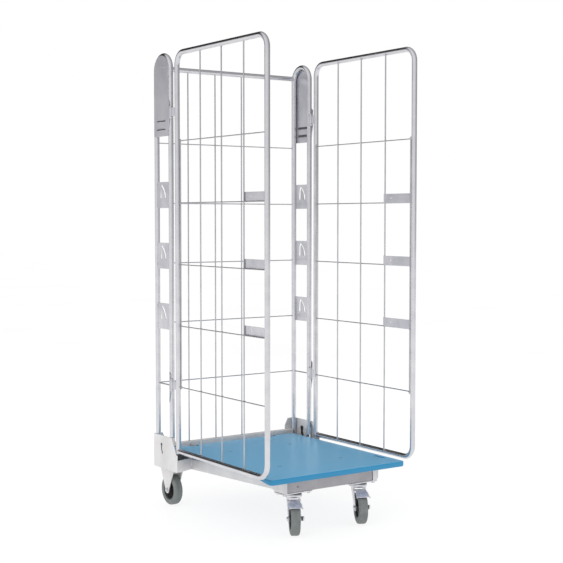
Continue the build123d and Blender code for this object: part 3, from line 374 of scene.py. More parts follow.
DECK_SKIN = 5.0 * MM
DECK_WALL = 4.0 * MM
DECK_TOP_ROUND = 4.0 * MM
DECK_CORNER = 12.0 * MM
DECK_UNDERCUT = Vector((32.0, 10.5)) * MM
UNDERCUT_FADE = 60.0 * MM
RIB = 2.6 * MM
POCKETS = (7, 9)
ARM_HALF = 13.0 * MM
NOTCH_HALF = 18.0 * MM
NOTCH_LENGTH = 24.0 * MM
CLIP_HALF = 6.0 * MM
RECESS_MARGIN = 3.0 * MM
RECESS_WIDTH = 19.0 * MM
RECESS_LENGTH = 62.0 * MM
RECESS_DEPTH = 4.0 * MM
SCREW_HEAD_R = 6.0 * MM


def block(bm, low, high):
    slab(bm, [(low[0], low[1]), (high[0], low[1]), (high[0], high[1]), (low[0], high[1])],
         [(low[2], 0), (high[2], 0)])


def oblong(x, y, width, length, steps=10):
    """Outline of a slot with round ends, long in Y."""
    points = []
    for n in range(2 * steps + 2):
        half = n // (steps + 1)
        angle = pi * (half + (n % (steps + 1)) / steps)
        shift = (length - width) / 2 * (1 if half == 0 else -1)
        points.append((x + width / 2 * cos(angle), y + shift + width / 2 * sin(angle)))
    return points


def build_deck():
    """Ribbed moulding with a round-over top edge, side recesses, hinge notches and screw seats."""
    low, high = DECK_LOW, DECK_HIGH
    bm = bmesh.new()
    outline = rounded_box((low.x, low.y), (high.x, high.y), DECK_CORNER, 8)
    round_over = []
    for n in range(5):
        angle = pi / 2 * n / 4
        inset = DECK_TOP_ROUND * (1 - cos(angle))
        round_over.append((high.z - DECK_TOP_ROUND * (1 - sin(angle)), inset))
    slab(bm, outline, [(low.z, 1.6 * MM), (low.z + 1.5 * MM, 0.4 * MM), (low.z + 4 * MM, 0)] + round_over)
    deck = piece(bm, "deck_moulding", "deck", "deck_plastic", ("deck_panel",))

    _, arms_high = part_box("deck_hinge_arms")
    arm_x = arms_high.x - ARM_HALF
    notch_front = arms_high.y - NOTCH_LENGTH
    cutter = bmesh.new()
    for side in SIDES.values():
        block(cutter, (side * arm_x - NOTCH_HALF, notch_front, low.z - MM),
              (side * arm_x + NOTCH_HALF, high.y + MM, high.z + MM))
    _, clip_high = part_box("deck_clips")
    recess_x = clip_high.x - CLIP_HALF
    recess_y = clip_high.y + RECESS_MARGIN - RECESS_LENGTH / 2
    for side in SIDES.values():
        slot = oblong(side * recess_x, recess_y, RECESS_WIDTH, RECESS_LENGTH)
        slab(cutter, slot, [(high.z - RECESS_DEPTH, 1.2 * MM), (high.z + MM, 0)])
    screw_low, screw_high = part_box("deck_screws")
    seat = [(-3.2 * MM, 0), (-3.2 * MM, 6.4 * MM), (MM, 7.6 * MM), (MM, 0)]
    for x in (screw_low.x + SCREW_HEAD_R, screw_high.x - SCREW_HEAD_R):
        for y in (screw_low.y + SCREW_HEAD_R, screw_high.y - SCREW_HEAD_R):
            lathe(cutter, seat, Matrix.Translation((x, y, high.z)) @ Matrix.Rotation(-pi / 2, 4, "Y"), 24)
    bmesh.ops.remove_doubles(cutter, verts=cutter.verts, dist=1e-7)
    cut(deck, cutter)

    pockets = bmesh.new()
    inner_low = Vector((low.x + DECK_WALL, low.y + DECK_WALL))
    inner_high = Vector((high.x - DECK_WALL, notch_front - DECK_WALL))
    pitch_x = (inner_high.x - inner_low.x + RIB) / POCKETS[0]
    pitch_y = (inner_high.y - inner_low.y + RIB) / POCKETS[1]
    for column in range(POCKETS[0]):
        for line in range(POCKETS[1]):
            x, y = inner_low.x + column * pitch_x, inner_low.y + line * pitch_y
            corners = rounded_box((x, y), (x + pitch_x - RIB, y + pitch_y - RIB), 5 * MM, 3)
            slab(pockets, corners, [(low.z - MM, 0), (high.z - DECK_SKIN, 0.8 * MM)])
    cut(deck, pockets)

    undercut = bmesh.new()
    run, rise = DECK_UNDERCUT
    for side in SIDES.values():
        edge = side * high.x
        section = [(edge + side * MM, low.z - MM), (edge + side * MM, low.z + rise), (edge, low.z + rise)]
        section += [(edge - side * run, low.z), (edge - side * run, low.z - MM)]
        start = low.y + DECK_CORNER
        rings = [[Vector((x, y, z)) for x, z in section] for y in (start + UNDERCUT_FADE, high.y + MM)]
        faded = [Vector((x, start, min(z, low.z + 0.2 * MM))) for x, z in section]
        loft(undercut, [faded] + rings)
    cut(deck, undercut)
    for polygon in deck.data.polygons:
        polygon.use_smooth = True
    deck.data.set_sharp_from_angle(angle=SMOOTH_ANGLE)


def build_deck_screws():
    """Countersunk cross-recess heads, flush with the deck, with nuts below."""
    low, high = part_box("deck_screws")
    bm = bmesh.new()
    for x in (low.x + SCREW_HEAD_R, high.x - SCREW_HEAD_R):
        for y in (low.y + SCREW_HEAD_R, high.y - SCREW_HEAD_R):
            place = Matrix.Translation((x, y, 0)) @ Matrix.Rotation(-pi / 2, 4, "Y")
            profile = [
                (low.z, 0), (low.z, 3 * MM), (high.z - 3 * MM, 3 * MM), (high.z - 0.6 * MM, 5.6 * MM),
                (high.z - 0.2 * MM, 5.4 * MM), (high.z, 2.4 * MM), (high.z - 0.9 * MM, 1.4 * MM),
                (high.z - 1.2 * MM, 0),
            ]
            lathe(bm, profile, place, 24)
            hexagon(bm, Matrix.Translation((x, y, low.z)) @ Matrix.Rotation(-pi / 2, 4, "Y"), 5 * MM, 3 * MM)
    piece(bm, "deck_screw_set", "deck", "hardware", ("deck_screws",))


# ------------------------------------------------------------------ fasteners


def hexagon(bm, place, radius, height, turn=0.0):
    """Six-sided head standing on place's origin along its X axis, with a turned chamfer on top."""
    rings = []
    for along, share in ((0.0, 0.97), (0.06, 1.0), (0.80, 1.0), (0.93, 0.95), (1.0, 0.84)):
        ring = []
        for n in range(24):
            angle = tau * n / 24
            flat = cos(pi / 6) / cos((angle % (pi / 3)) - pi / 6)
            reach = radius * min(flat, share) if along > 0.85 else radius * flat * share
            y, z = reach * cos(angle + turn), reach * sin(angle + turn)
            ring.append(place @ Vector((height * along, y, z)))
        rings.append(ring)
    loft(bm, rings)


def washer(bm, place, outer, inner, thickness):
    chamfer = 0.25 * thickness
    profile = [
        (0, inner), (0, outer - chamfer), (chamfer, outer), (thickness - chamfer, outer),
        (thickness, outer - chamfer), (thickness, inner),
    ]
    lathe(bm, profile, place, 32)


def build_axle(name, place, half, head, body, stands_for, spacer=0.0):
    """Hex bolt through a fork, with washers; its nut may stand on a dark spacer."""
    bm = bmesh.new()
    thickness = 6 * MM
    inner = half - thickness
    for side in (-1, 1):
        stand = inner + (spacer if side > 0 else 0.0)
        outward = place @ Matrix.Translation((side * stand, 0, 0))
        if side < 0:
            outward = outward @ Matrix.Rotation(pi, 4, "Z")
        washer(bm, outward, head * 1.02, 5 * MM, 1.4 * MM)
        hexagon(bm, outward @ Matrix.Translation((1.4 * MM, 0, 0)), head * 0.92, thickness - 2.2 * MM, 0.3)
        tip = [(0, 0), (0, 4.4 * MM), (thickness - 0.8 * MM, 4.4 * MM), (thickness, 3.6 * MM), (thickness, 0)]
        lathe(bm, tip, outward, 24)
    shank = [(-inner, 0), (-inner, 5 * MM), (inner, 5 * MM), (inner, 0)]
    lathe(bm, shank, place, 24)
    piece(bm, name, body, "hardware", stands_for)
    if spacer:
        bm = bmesh.new()
        end, bore, outer = inner + spacer, 4.6 * MM, 7.4 * MM
        lathe(bm, [(inner, bore), (inner, outer), (end, outer), (end, bore)], place, 32)
        piece(bm, f"{name}_spacer", body, "hub")


def build_plate_bolts():
    """Hex heads with washers under every caster plate."""
    bm = bmesh.new()
    node = frame["nodes"]["caster_bolts"]
    heads = bolt_centres(node)
    for x, y, low in heads:
        place = Matrix.Translation((x, y, low + 5 * MM)) @ Matrix.Rotation(pi / 2, 4, "Y")
        washer(bm, place, 7 * MM, 4 * MM, 1.2 * MM)
        hexagon(bm, place @ Matrix.Translation((1.2 * MM, 0, 0)), 6.6 * MM, 3.8 * MM, 0.4 * x / MM)
        shank = [(-16 * MM, 0), (-16 * MM, 3.6 * MM), (0, 4 * MM), (0, 0)]
        lathe(bm, shank, place, 20)
        top = place @ Matrix.Translation((-9.5 * MM, 0, 0)) @ Matrix.Rotation(pi, 4, "Z")
        hexagon(bm, top, 6.4 * MM, 5 * MM, 0.2)
    piece(bm, "caster_bolt_set", "base", "hardware", ("caster_bolts",))


def bolt_centres(node):
    """Middle and lowest height of each separate solid in a CAD node."""
    found = {}
    grid = 20 * MM
    for vertex in node.data.vertices:
        co = vertex.co
        for key, box in found.items():
            if abs(co.x - box[0]) < grid and abs(co.y - box[1]) < grid:
                box[2].append(co)
                break
        else:
            found[len(found)] = (co.x, co.y, [co])
    centres = []
    for _, _, points in found.values():
        xs, ys = [p.x for p in points], [p.y for p in points]
        middle = ((min(xs) + max(xs)) / 2, (min(ys) + max(ys)) / 2, min(p.z for p in points))
        centres.append(middle)
    return centres


def build_hinge_pins():
    """Domed rivet heads at both ends of every gate hinge pin."""
    bm = bmesh.new()
    for name in SIDES:
        j = joint(f"gate_{name}_swing")
        x, y, _ = j["pos_m"]
        eye_low, eye_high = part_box(f"gate_hinge_eyes_{name}")
        length = 31 * MM
        for low in (eye_low.z, eye_high.z - length):
            middle = low + length / 2
            half = 20 * MM
            place = Matrix.Translation((x, y, middle)) @ Matrix.Rotation(-pi / 2, 4, "Y")
            dome = [(half + 4 * MM * sin(a), 6 * MM * cos(a)) for a in evenly(0.0, pi / 2, 6)]
            profile = [(half, 3.5 * MM)] + dome
            profile = [(-x0, r) for x0, r in reversed(profile)] + profile
            lathe(bm, profile, place, 28)
    piece(bm, "gate_hinge_rivets", "base", "hardware", ("gate_hinge_pins",))


# ------------------------------------------------------------------ wheels and casters

WHEEL_R = 57.5 * MM
TRAIL = 36.0 * MM
# a hub rib's sections, in millimetres: along the axle, inner and outer radius, half thickness
HUB_RIB = [(2.5, 14, 31, 1.5), (8.5, 12.6, 32.6, 1.1), (9.2, 13.2, 32.2, 0.6)]


def build_wheel(corner, body):
    """Grey tyre with rounded shoulders and mould lines, on a ribbed black hub."""
    place = axle_place(f"wheel_{corner}_spin")
    bm = bmesh.new()
    rim, half = 38 * MM, 16 * MM
    shoulder = 7.5 * MM
    profile = [(-14 * MM, rim)]
    profile += [(-half + 0.6 * MM, rim + 1.4 * MM), (-half, rim + 3.5 * MM)]
    profile += [(-half, WHEEL_R - shoulder - 1.2 * MM), (-half + 0.35 * MM, WHEEL_R - shoulder - 0.6 * MM)]
    for n in range(1, 8):
        angle = pi / 2 * n / 8
        profile.append((-half + shoulder * (1 - cos(angle)), WHEEL_R - shoulder * (1 - sin(angle))))
    profile += [(-half + shoulder, WHEEL_R), (-0.6 * MM, WHEEL_R), (0, WHEEL_R - 0.35 * MM)]
    profile += [(-x, r) for x, r in reversed(profile[:-1])]
    lathe(bm, profile, place, 96)
    piece(bm, f"tyre_solid_{corner}", body, "tyre", (f"tyre_{corner}",))

    bm = bmesh.new()
    hub = [
        (-18.8 * MM, 5.1 * MM), (-18.8 * MM, 9.6 * MM), (-17.8 * MM, 10.6 * MM), (-12 * MM, 12.2 * MM),
        (-4.5 * MM, 13.6 * MM), (-3 * MM, 16 * MM), (-3 * MM, 29 * MM), (-5 * MM, 31.5 * MM),
        (-12.6 * MM, 33.2 * MM), (-14 * MM, 34.6 * MM), (-14 * MM, 38 * MM),
    ]
    hub += [(-x, r) for x, r in reversed(hub)]
    lathe(bm, hub, place, 72)
    for n in range(10):
        turn = Matrix.Rotation(tau * n / 10, 4, "X")
        for side in (-1, 1):
            rib = []
            for along, r_in, r_out, thick in HUB_RIB:
                x = side * along * MM
                rib.append([place @ turn @ Vector((x, s * thick * MM, r * MM))
                            for s, r in ((-1, r_in), (1, r_in), (1, r_out), (-1, r_out))])
            loft(bm, rib)
    piece(bm, f"hub_ribbed_{corner}", body, "hub", (f"hub_{corner}",))

    bm = bmesh.new()
    for side in (-1, 1):
        cap = [
            (side * 15.5 * MM, 5.4 * MM), (side * 18.2 * MM, 5.6 * MM), (side * 18.9 * MM, 6.6 * MM),
            (side * 18.9 * MM, 8.8 * MM), (side * 18.2 * MM, 9.4 * MM), (side * 15.5 * MM, 9.4 * MM),
        ]
        lathe(bm, cap, place, 32)
    piece(bm, f"bearing_caps_{corner}", body, "hardware")


# the pedal's line as (distance from the kingpin, height above the ground) and its half widths, in millimetres
PEDAL_PATH = [(-9, 117.3), (-16, 118.8), (-28, 119.8), (-42, 120.6), (-54, 117.8), (-66, 112.6), (-77, 106.8),
              (-84, 105.6), (-88, 106.6)]
PEDAL_WIDTH = [17.4, 17.8, 17.9, 18.2, 21.6, 22.9, 23.0, 23.8, 24.6]


def smooth_along(values, share):
    """Catmull-Rom value at a share of the way along a list of numbers or vectors."""
    position = share * (len(values) - 1)
    k = min(int(position), len(values) - 2)
    t = position - k
    p0, p1, p2, p3 = [values[max(0, min(len(values) - 1, k + n))] for n in (-1, 0, 1, 2)]
    return 0.5 * ((2 * p1) + (p2 - p0) * t + (2 * p0 - 5 * p1 + 4 * p2 - p3) * t * t
                  + (3 * p1 - p0 - 3 * p2 + p3) * t ** 3)


def build_pedal(name):
    """Pressed brake pedal: turned-down sides, two ribs, a flared toe, and its cross pin."""
    place = axle_place(f"wheel_front_{name}_spin")
    body = f"brake_{name}"
    path = [Vector((0, y * MM + TRAIL, z * MM - WHEEL_R)) for y, z in PEDAL_PATH]
    steps, across = 34, 28
    grid = []
    for n in range(steps + 1):
        share = n / steps
        middle = smooth_along(path, share)
        ahead = smooth_along(path, min(1, share + 0.02)) - smooth_along(path, max(0, share - 0.02))
        up = Vector((1, 0, 0)).cross(ahead).normalized()
        if up.z < 0:
            up = -up
        half = smooth_along(PEDAL_WIDTH, share) * MM
        row = []
        for m in range(across + 1):
            v = 2 * m / across - 1
            turned = -5.0 * MM * max(0.0, (abs(v) - 0.84) / 0.16) ** 1.6 * min(1, 6 * (1 - share))
            run = min(1, max(0, (share - 0.28) / 0.6))
            rib = 1.1 * MM * max(0.0, 1 - ((abs(v) - 0.42) / 0.14) ** 2) * sin(pi * run)
            dish = -0.8 * MM * (1 - v * v) * sin(pi * share)
            row.append(place @ (middle + Vector((v * half, 0, 0)) + up * (turned + rib + dish)))
        grid.append(row)
    bm = bmesh.new()
    rows = [[bm.verts.new(p) for p in row] for row in grid]
    for a, b in zip(rows, rows[1:]):
        for k in range(across):
            bm.faces.new((a[k], a[k + 1], b[k + 1], b[k]))
    pedal = piece(bm, f"pedal_pressed_{name}", body, "pedal", (f"brake_pedal_{name}",))
    thick = pedal.modifiers.new("sheet", "SOLIDIFY")
    thick.thickness = 2 * MM
    thick.offset = 0
    apply_modifiers(pedal)
    pedal.data.set_sharp_from_angle(angle=SMOOTH_ANGLE)

    bm = bmesh.new()
    pivot = place @ Matrix.Translation((0, TRAIL - 14 * MM, 117 * MM - WHEEL_R))
    pin = [(0, 2.4), (22.6, 2.4), (22.6, 4.4), (23.4, 4.2), (24.1, 3.0), (24.3, 0)]
    pin = [(-x * MM, r * MM) for x, r in reversed(pin)] + [(x * MM, r * MM) for x, r in pin]
    lathe(bm, pin, pivot, 24)
    piece(bm, f"pedal_pin_{name}", body, "hardware")


def build_swivel(name):
    """Rounded ball race housing, its dust seal and the axle of one front caster."""
    body = f"caster_swivel_{name}"
    place = axle_place(f"wheel_front_{name}_spin")
    king = place @ Matrix.Translation((0, TRAIL, 0)) @ Matrix.Rotation(-pi / 2, 4, "Y")
    bm = bmesh.new()
    top = [
        (68.5, 22), (68.5, 26.4), (70, 28.4), (72.5, 30.0), (76, 30.4),
        (79.4, 29.8), (81.2, 28), (81.8, 24), (81.8, 22),
    ]
    lathe(bm, [(x * MM, r * MM) for x, r in top], king, 64)
    piece(bm, f"race_housing_{name}", body, "hardware")
    bm = bmesh.new()
    seal = [(81.9, 23), (81.9, 29.2), (83.2, 29.8), (83.9, 28), (83.9, 23)]
    lathe(bm, [(x * MM, r * MM) for x, r in seal], king, 48)
    piece(bm, f"race_seal_{name}", body, "hub")
    stands_for = (f"caster_axle_front_{name}",)
    build_axle(f"axle_bolt_front_{name}", place, 28 * MM, 8.5 * MM, body, stands_for, 6 * MM)


def build_rear_axles():
    """Both rear axles, one piece each side."""
    for name in SIDES:
        place = axle_place(f"wheel_rear_{name}_spin")
        stands_for = ("caster_axles_rear",) if name == "left" else ()
        build_axle(f"axle_bolt_rear_{name}", place, 28 * MM, 8.5 * MM, "base", stands_for)


# ------------------------------------------------------------------ welds and pressed details

# heights of the louvres, and the key slot's line as (y, z), in millimetres
LOUVRE_Z = (1417, 1448)
KEY_SLOT = ((322, 235), (322, 217), (314, 201))
COLUMN_R = 9.5 * MM
HOOK_PLATE_HEIGHT = 97.0 * MM
RAIL_WIDTH = 30.0 * MM
RAIL_FRONT_X = 180.5 * MM
# the slanted front face of a corner housing starts at this (x, y) and runs back by this much per unit of x
HOUSING_CORNER = Vector((328.0, 204.3)) * MM
HOUSING_SLANT = 0.378


def blob(bm, centre, radius, flatten, draw):
    """Small uneven lump of weld metal, flattened along one axis."""
    rings = []
    for lift in (-0.92, -0.55, 0.0, 0.55, 0.92):
        ring = []
        for n in range(8):
            angle = tau * n / 8
            r = radius * (1 - lift * lift) ** 0.5 * draw.uniform(0.82, 1.14)
            local = Vector((r * cos(angle), r * sin(angle), radius * lift))
            ring.append(centre + Vector([a * b for a, b in zip(local, flatten)]))
        rings.append(ring)
    loft(bm, rings)


def bead(bm, points, radius, draw):
    """Run of weld metal along a line, rippled like a row of overlapping drops."""
    line = []
    for a, b in zip(points, points[1:]):
        count = max(2, int((b - a).length / (0.7 * radius)))
        line += [a.lerp(b, n / count) for n in range(count)]
    line.append(points[-1])
    sizes = [radius * draw.uniform(0.78, 1.12) for _ in line]
    sizes[0] = sizes[-1] = 0.35 * radius
    tube(bm, line, lambda share: sizes[round(share * (len(sizes) - 1))], 8)


def build_gate_welds(name, side):
    """Drops where wires cross, where they meet the tubes, and the bead of the butt-welded corner."""
    draw = Random(11 + side)
    frame_low, frame_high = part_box(f"gate_frame_{name}")
    up_low, up_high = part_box(f"gate_upright_wires_{name}")
    cross_low, cross_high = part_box(f"gate_cross_wires_{name}")
    end_low, end_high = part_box(f"gate_end_wires_{name}")
    wire_r, cross_r = 2.5 * MM, 2.0 * MM
    tube_r = (frame_high.x - frame_low.x) / 2
    ys = evenly(up_low.y + wire_r, up_high.y - wire_r, 3)
    zs = evenly(cross_low.z + cross_r, cross_high.z - cross_r, 5)
    ends = [end_low.y + wire_r, end_high.y - wire_r]
    touch_x = (up_high.x if side < 0 else up_low.x) - side * 0.2 * MM
    bm = bmesh.new()
    for z in zs:
        for y in ys + ends:
            blob(bm, Vector((touch_x, y, z)), 3.0 * MM, (0.62, 1.0, 1.0), draw)
    wire_x = side * (abs(up_low.x + up_high.x) / 2)
    for y in ys:
        for z in (frame_low.z + 2 * tube_r, frame_high.z - 2 * tube_r):
            blob(bm, Vector((wire_x, y, z)), 3.6 * MM, (1.0, 1.1, 0.6), draw)
    for y, leg in zip(ends, (frame_low.y + tube_r, frame_high.y - tube_r)):
        for z in [end_low.z + 6 * MM, end_high.z - 6 * MM] + evenly(end_low.z + 0.12, end_high.z - 0.12, 6):
            spot = Vector((wire_x, y + (leg - y) * 0.22, z))
            blob(bm, spot, 2.4 * MM, (0.9, 0.8, 1.7), draw)
    corner = Vector((side * abs(frame_low.x + frame_high.x) / 2, frame_high.y - tube_r, 0))
    joint_z = frame_low.z + tube_r
    around = []
    for a in evenly(-2.1, 2.1, 22):
        around.append(corner + Vector((tube_r * sin(a), -tube_r * 0.99, joint_z + tube_r * cos(a))))
    bead(bm, around, 1.5 * MM, draw)
    piece(bm, f"gate_welds_{name}", f"gate_{name}", "wire", look=LOOKS["weld"])


def build_back_welds():
    """Drops at the back mesh crossings and beads where the rail and wires meet the columns."""
    draw = Random(7)
    up_low, up_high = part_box("back_upright_wires")
    cross_low, cross_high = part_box("back_cross_wires")
    rail_low, rail_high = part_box("back_top_rail")
    _, beam_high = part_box("rear_beam")
    xs = evenly(up_low.x + 2.5 * MM, up_high.x - 2.5 * MM, 4)
    zs = evenly(cross_low.z + 2 * MM, cross_high.z - 2 * MM, 5)
    bm = bmesh.new()
    for z in zs:
        for x in xs:
            blob(bm, Vector((x, up_high.y, z)), 3.0 * MM, (1.0, 0.62, 1.0), draw)
        for side in (-1, 1):
            end = Vector((side * (cross_high.x - 0.6 * MM), cross_low.y + 2 * MM, z))
            blob(bm, end, 3.2 * MM, (0.7, 1.0, 1.0), draw)
    wire_y = (up_low.y + up_high.y) / 2
    for x in xs:
        blob(bm, Vector((x, wire_y, rail_low.z)), 3.6 * MM, (1.0, 1.0, 0.6), draw)
        blob(bm, Vector((x, wire_y, beam_high.z)), 3.8 * MM, (1.0, 1.0, 0.6), draw)
    rail_r = (rail_high.z - rail_low.z) / 2
    rail_mid = (rail_low + rail_high) / 2
    column_low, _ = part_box("column_right")
    for side in (-1, 1):
        inner = column_low.x + 1.2 * MM
        points = []
        for a in evenly(0.0, tau, 36):
            bulge = rail_r - (rail_r ** 2 - (rail_r * sin(a)) ** 2 * 0.8) ** 0.5
            y, z = rail_mid.y + rail_r * sin(a), rail_mid.z + rail_r * cos(a)
            points.append(Vector((side * (inner + bulge), y, z)))
        bead(bm, points, 1.5 * MM, draw)
    piece(bm, "back_mesh_welds", "base", "wire", look=LOOKS["weld"])


def build_column_welds(name, side):
    """Short stitch beads along the plates on a column, and a bead where each foot meets its housing."""
    draw = Random(31 + side)
    low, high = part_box(f"column_{name}")
    plate_low, plate_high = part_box(f"hook_plates_{name}")
    top_low, top_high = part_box(f"column_top_plate_{name}")
    bracket_low, bracket_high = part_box(f"hinge_brackets_{name}")
    _, housing_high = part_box(f"corner_housing_{name}")
    face = side * (abs(low.x + high.x) / 2 + COLUMN_R)
    legs = (low.y + COLUMN_R, high.y - COLUMN_R)
    pitch = (plate_high.z - plate_low.z - HOOK_PLATE_HEIGHT) / 2
    tube_x, tube_r = side * abs(low.x + high.x) / 2, (high.x - low.x) / 2
    plate_x = side * (abs(plate_high.x) if side > 0 else abs(plate_low.x)) - side * 2 * MM
    reach = max(0.0, tube_r ** 2 - (plate_x - tube_x) ** 2) ** 0.5
    bm = bmesh.new()
    for leg, outward in zip(legs, (-1, 1)):
        y = leg - outward * (reach + 0.4 * MM)
        for n in range(3):
            foot = plate_low.z + n * pitch
            for start in (foot + 6 * MM, foot + HOOK_PLATE_HEIGHT - 24 * MM):
                run = [Vector((plate_x, y, start)), Vector((plate_x, y, start + 18 * MM))]
                bead(bm, run, 1.8 * MM, draw)
        y = leg + outward * 0.8 * MM
        for start in evenly(top_low.z + 10 * MM, top_high.z - 75 * MM, 4):
            bead(bm, [Vector((face, y, start)), Vector((face, y, start + 16 * MM))], 1.5 * MM, draw)
        for offset in (-1, 1):
            spot = Vector((face - side * 3 * MM, leg + offset * 7.2 * MM, 0))
            ends = [spot + Vector((0, 0, housing_high.z - drop * MM)) for drop in (34, 8)]
            bead(bm, ends, 1.7 * MM, draw)
    outer = side * (abs(top_low.x) if side < 0 else abs(top_high.x))
    for lean in (-1, 1):
        middle = Vector((outer, sum(legs) / 2 + lean * 15 * MM, top_high.z - 40 * MM + lean * 3 * MM))
        ends = [middle + Vector((0, reach_y * MM, -2 * MM)) for reach_y in (-12, 12)]
        bead(bm, ends, 1.3 * MM, draw)
    for end_z, step in ((bracket_low.z, 1), (bracket_high.z, -1)):
        y = legs[0] - 0.4 * MM
        z = end_z + step * 4 * MM
        bead(bm, [Vector((face, y, z)), Vector((face, y, z + step * 22 * MM))], 1.4 * MM, draw)
    piece(bm, f"column_welds_{name}", "base", "sheet", look=LOOKS["weld"])


def build_louvres(name, side):
    """Pressed louvres of the top plate: a hood pushed inward behind each slot, open downward, coloured dark as
    painted shade.
    """
    top_low, top_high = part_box(f"column_top_plate_{name}")
    face = side * min(abs(top_high.x), abs(top_low.x))
    middle_y = (top_low.y + top_high.y) / 2
    half, rise, stand = 33.5 * MM, 9 * MM, 5 * MM
    bm = bmesh.new()
    for slot_z in LOUVRE_Z:
        foot = slot_z * MM - 3 * MM
        rows = []
        for climb in evenly(0.0, 1.0, 8):
            row = []
            for share in evenly(-1.0, 1.0, 25):
                bulge = (1 - abs(share) ** 6) ** 0.5
                depth = stand * (1 - climb ** 3) * bulge
                spot = (face - side * (depth + 0.3 * MM), middle_y + half * share, foot + rise * climb)
                row.append(bm.verts.new(spot))
            rows.append(row)
        for lower, upper in zip(rows, rows[1:]):
            for k in range(len(lower) - 1):
                bm.faces.new((lower[k], lower[k + 1], upper[k + 1], upper[k]))
    # the hood's dark look is painted shade
    hood = piece(bm, f"louvres_{name}", "base", "sheet", look=LOOKS["louvre"])
    thick = hood.modifiers.new("sheet", "SOLIDIFY")
    thick.thickness = 1.2 * MM
    thick.offset = 0
    apply_modifiers(hood)
    hood.data.set_sharp_from_angle(angle=SMOOTH_ANGLE)

    bm = bmesh.new()
    outer = side * max(abs(top_high.x), abs(top_low.x))
    for slot_z in LOUVRE_Z:
        for above in (-1, 1):
            z = (slot_z + above * 3.2) * MM
            ends = [Vector((outer, middle_y + end * half, z)) for end in (-0.9, 0.9)]
            line = [ends[0].lerp(ends[1], n / 12) for n in range(13)]
            tube(bm, line, lambda share: (0.5 + 0.9 * sin(pi * share) ** 0.5) * MM, 10)
    piece(bm, f"louvre_lips_{name}", "base", "sheet")


def build_key_slot_shade(name, side):
    """Black strip close behind the key slot of a corner housing, with a round head: painted shade of the hollow
    seen through the slot.
    """
    low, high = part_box(f"corner_housing_{name}")
    web = side * (max(abs(high.x), abs(low.x)) - 3 * MM)
    bm = bmesh.new()
    head = Matrix.Translation((web, KEY_SLOT[0][0] * MM, KEY_SLOT[0][1] * MM))
    boss = [(-2.6 * MM, 0), (-2.6 * MM, 8.2 * MM), (-2.0 * MM, 9 * MM), (-0.1 * MM, 9 * MM), (-0.1 * MM, 0)]
    lathe(bm, [(side * x, r) for x, r in boss], head, 32)
    half = 6 * MM
    for (y0, z0), (y1, z1) in zip(KEY_SLOT, KEY_SLOT[1:]):
        start, end = Vector((y0, z0)) * MM, Vector((y1, z1)) * MM
        along = (end - start).normalized()
        across = Vector((-along.y, along.x)) * half
        start, end = start - along * half * 0.4, end + along * half
        corners = [start + across, end + across * 0.8, end - across * 0.8, start - across]
        rings = []
        for depth in (0.3, 2.0):
            rings.append([Vector((web - side * depth * MM, c.x, c.y)) for c in corners])
        loft(bm, rings)
    # the black strip and head are painted shade behind the slot
    piece(bm, f"key_slot_painted_shade_{name}", "base", "hub")


def build_base_welds():
    """Beads where the side rails meet the front beam and the corner housings."""
    draw = Random(5)
    _, beam_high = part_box("front_beam")
    bm = bmesh.new()
    for name, side in SIDES.items():
        low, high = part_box(f"side_rail_{name}")
        x, y = side * RAIL_FRONT_X, beam_high.y
        ends = (low.z + 2 * MM, high.z - 2 * MM)
        for corner_x in (x, x - side * RAIL_WIDTH):
            bead(bm, [Vector((corner_x, y, z)) for z in ends], 1.6 * MM, draw)
        bead(bm, [Vector((x, y, low.z)), Vector((x - side * RAIL_WIDTH, y, low.z))], 1.6 * MM, draw)
        rear_x = side * (abs(high.x) if side > 0 else abs(low.x))
        slant_y = HOUSING_CORNER.y + HOUSING_SLANT * (HOUSING_CORNER.x - abs(rear_x))
        bead(bm, [Vector((rear_x, slant_y, z)) for z in ends], 1.8 * MM, draw)
    piece(bm, "base_welds", "base", "sheet", look=LOOKS["weld"])


build_deck()
build_deck_screws()
build_plate_bolts()
build_hinge_pins()
build_rear_axles()
build_back_welds()
build_base_welds()
for side_name, side_sign in SIDES.items():
    build_gate_welds(side_name, side_sign)
    build_column_welds(side_name, side_sign)
    build_louvres(side_name, side_sign)
    build_key_slot_shade(side_name, side_sign)
    build_pedal(side_name)
    build_swivel(side_name)
    for end in ("front", "rear"):
        build_wheel(f"{end}_{side_name}", f"wheel_{end}_{side_name}")

# ------------------------------------------------------------------ stage, light and camera


def build_floor():
    """Plain pale floor, large enough for every view; its glow keeps the shadows faint."""
    bm = bmesh.new()
    reach = 30.0
    corners = [(-reach, -reach), (reach, -reach), (reach, reach), (-reach, reach)]
    bm.faces.new([bm.verts.new((x, y, 0)) for x, y in corners])
    mesh = bpy.data.meshes.new("floor")
    bm.to_mesh(mesh)
    bm.free()
    floor = bpy.data.objects.new("floor", mesh)
    bpy.context.scene.collection.objects.link(floor)
    look = Look("floor_paint")
    tone = look.spread(look.noise(0.8, 3.0), 0.3, 0.7, 0.0, 1.0)
    color = look.mix(tone, (0.13, 0.13, 0.13), (0.16, 0.16, 0.16))
    rough = look.spread(tone, 0.0, 1.0, 0.75, 0.85)
    glow = {"Emission Color": (1.0, 1.0, 1.0, 1.0), "Emission Strength": 0.84}
    mesh.materials.append(look.surface(color, rough, look.noise(300.0), 0.00002, 0.001, glow))


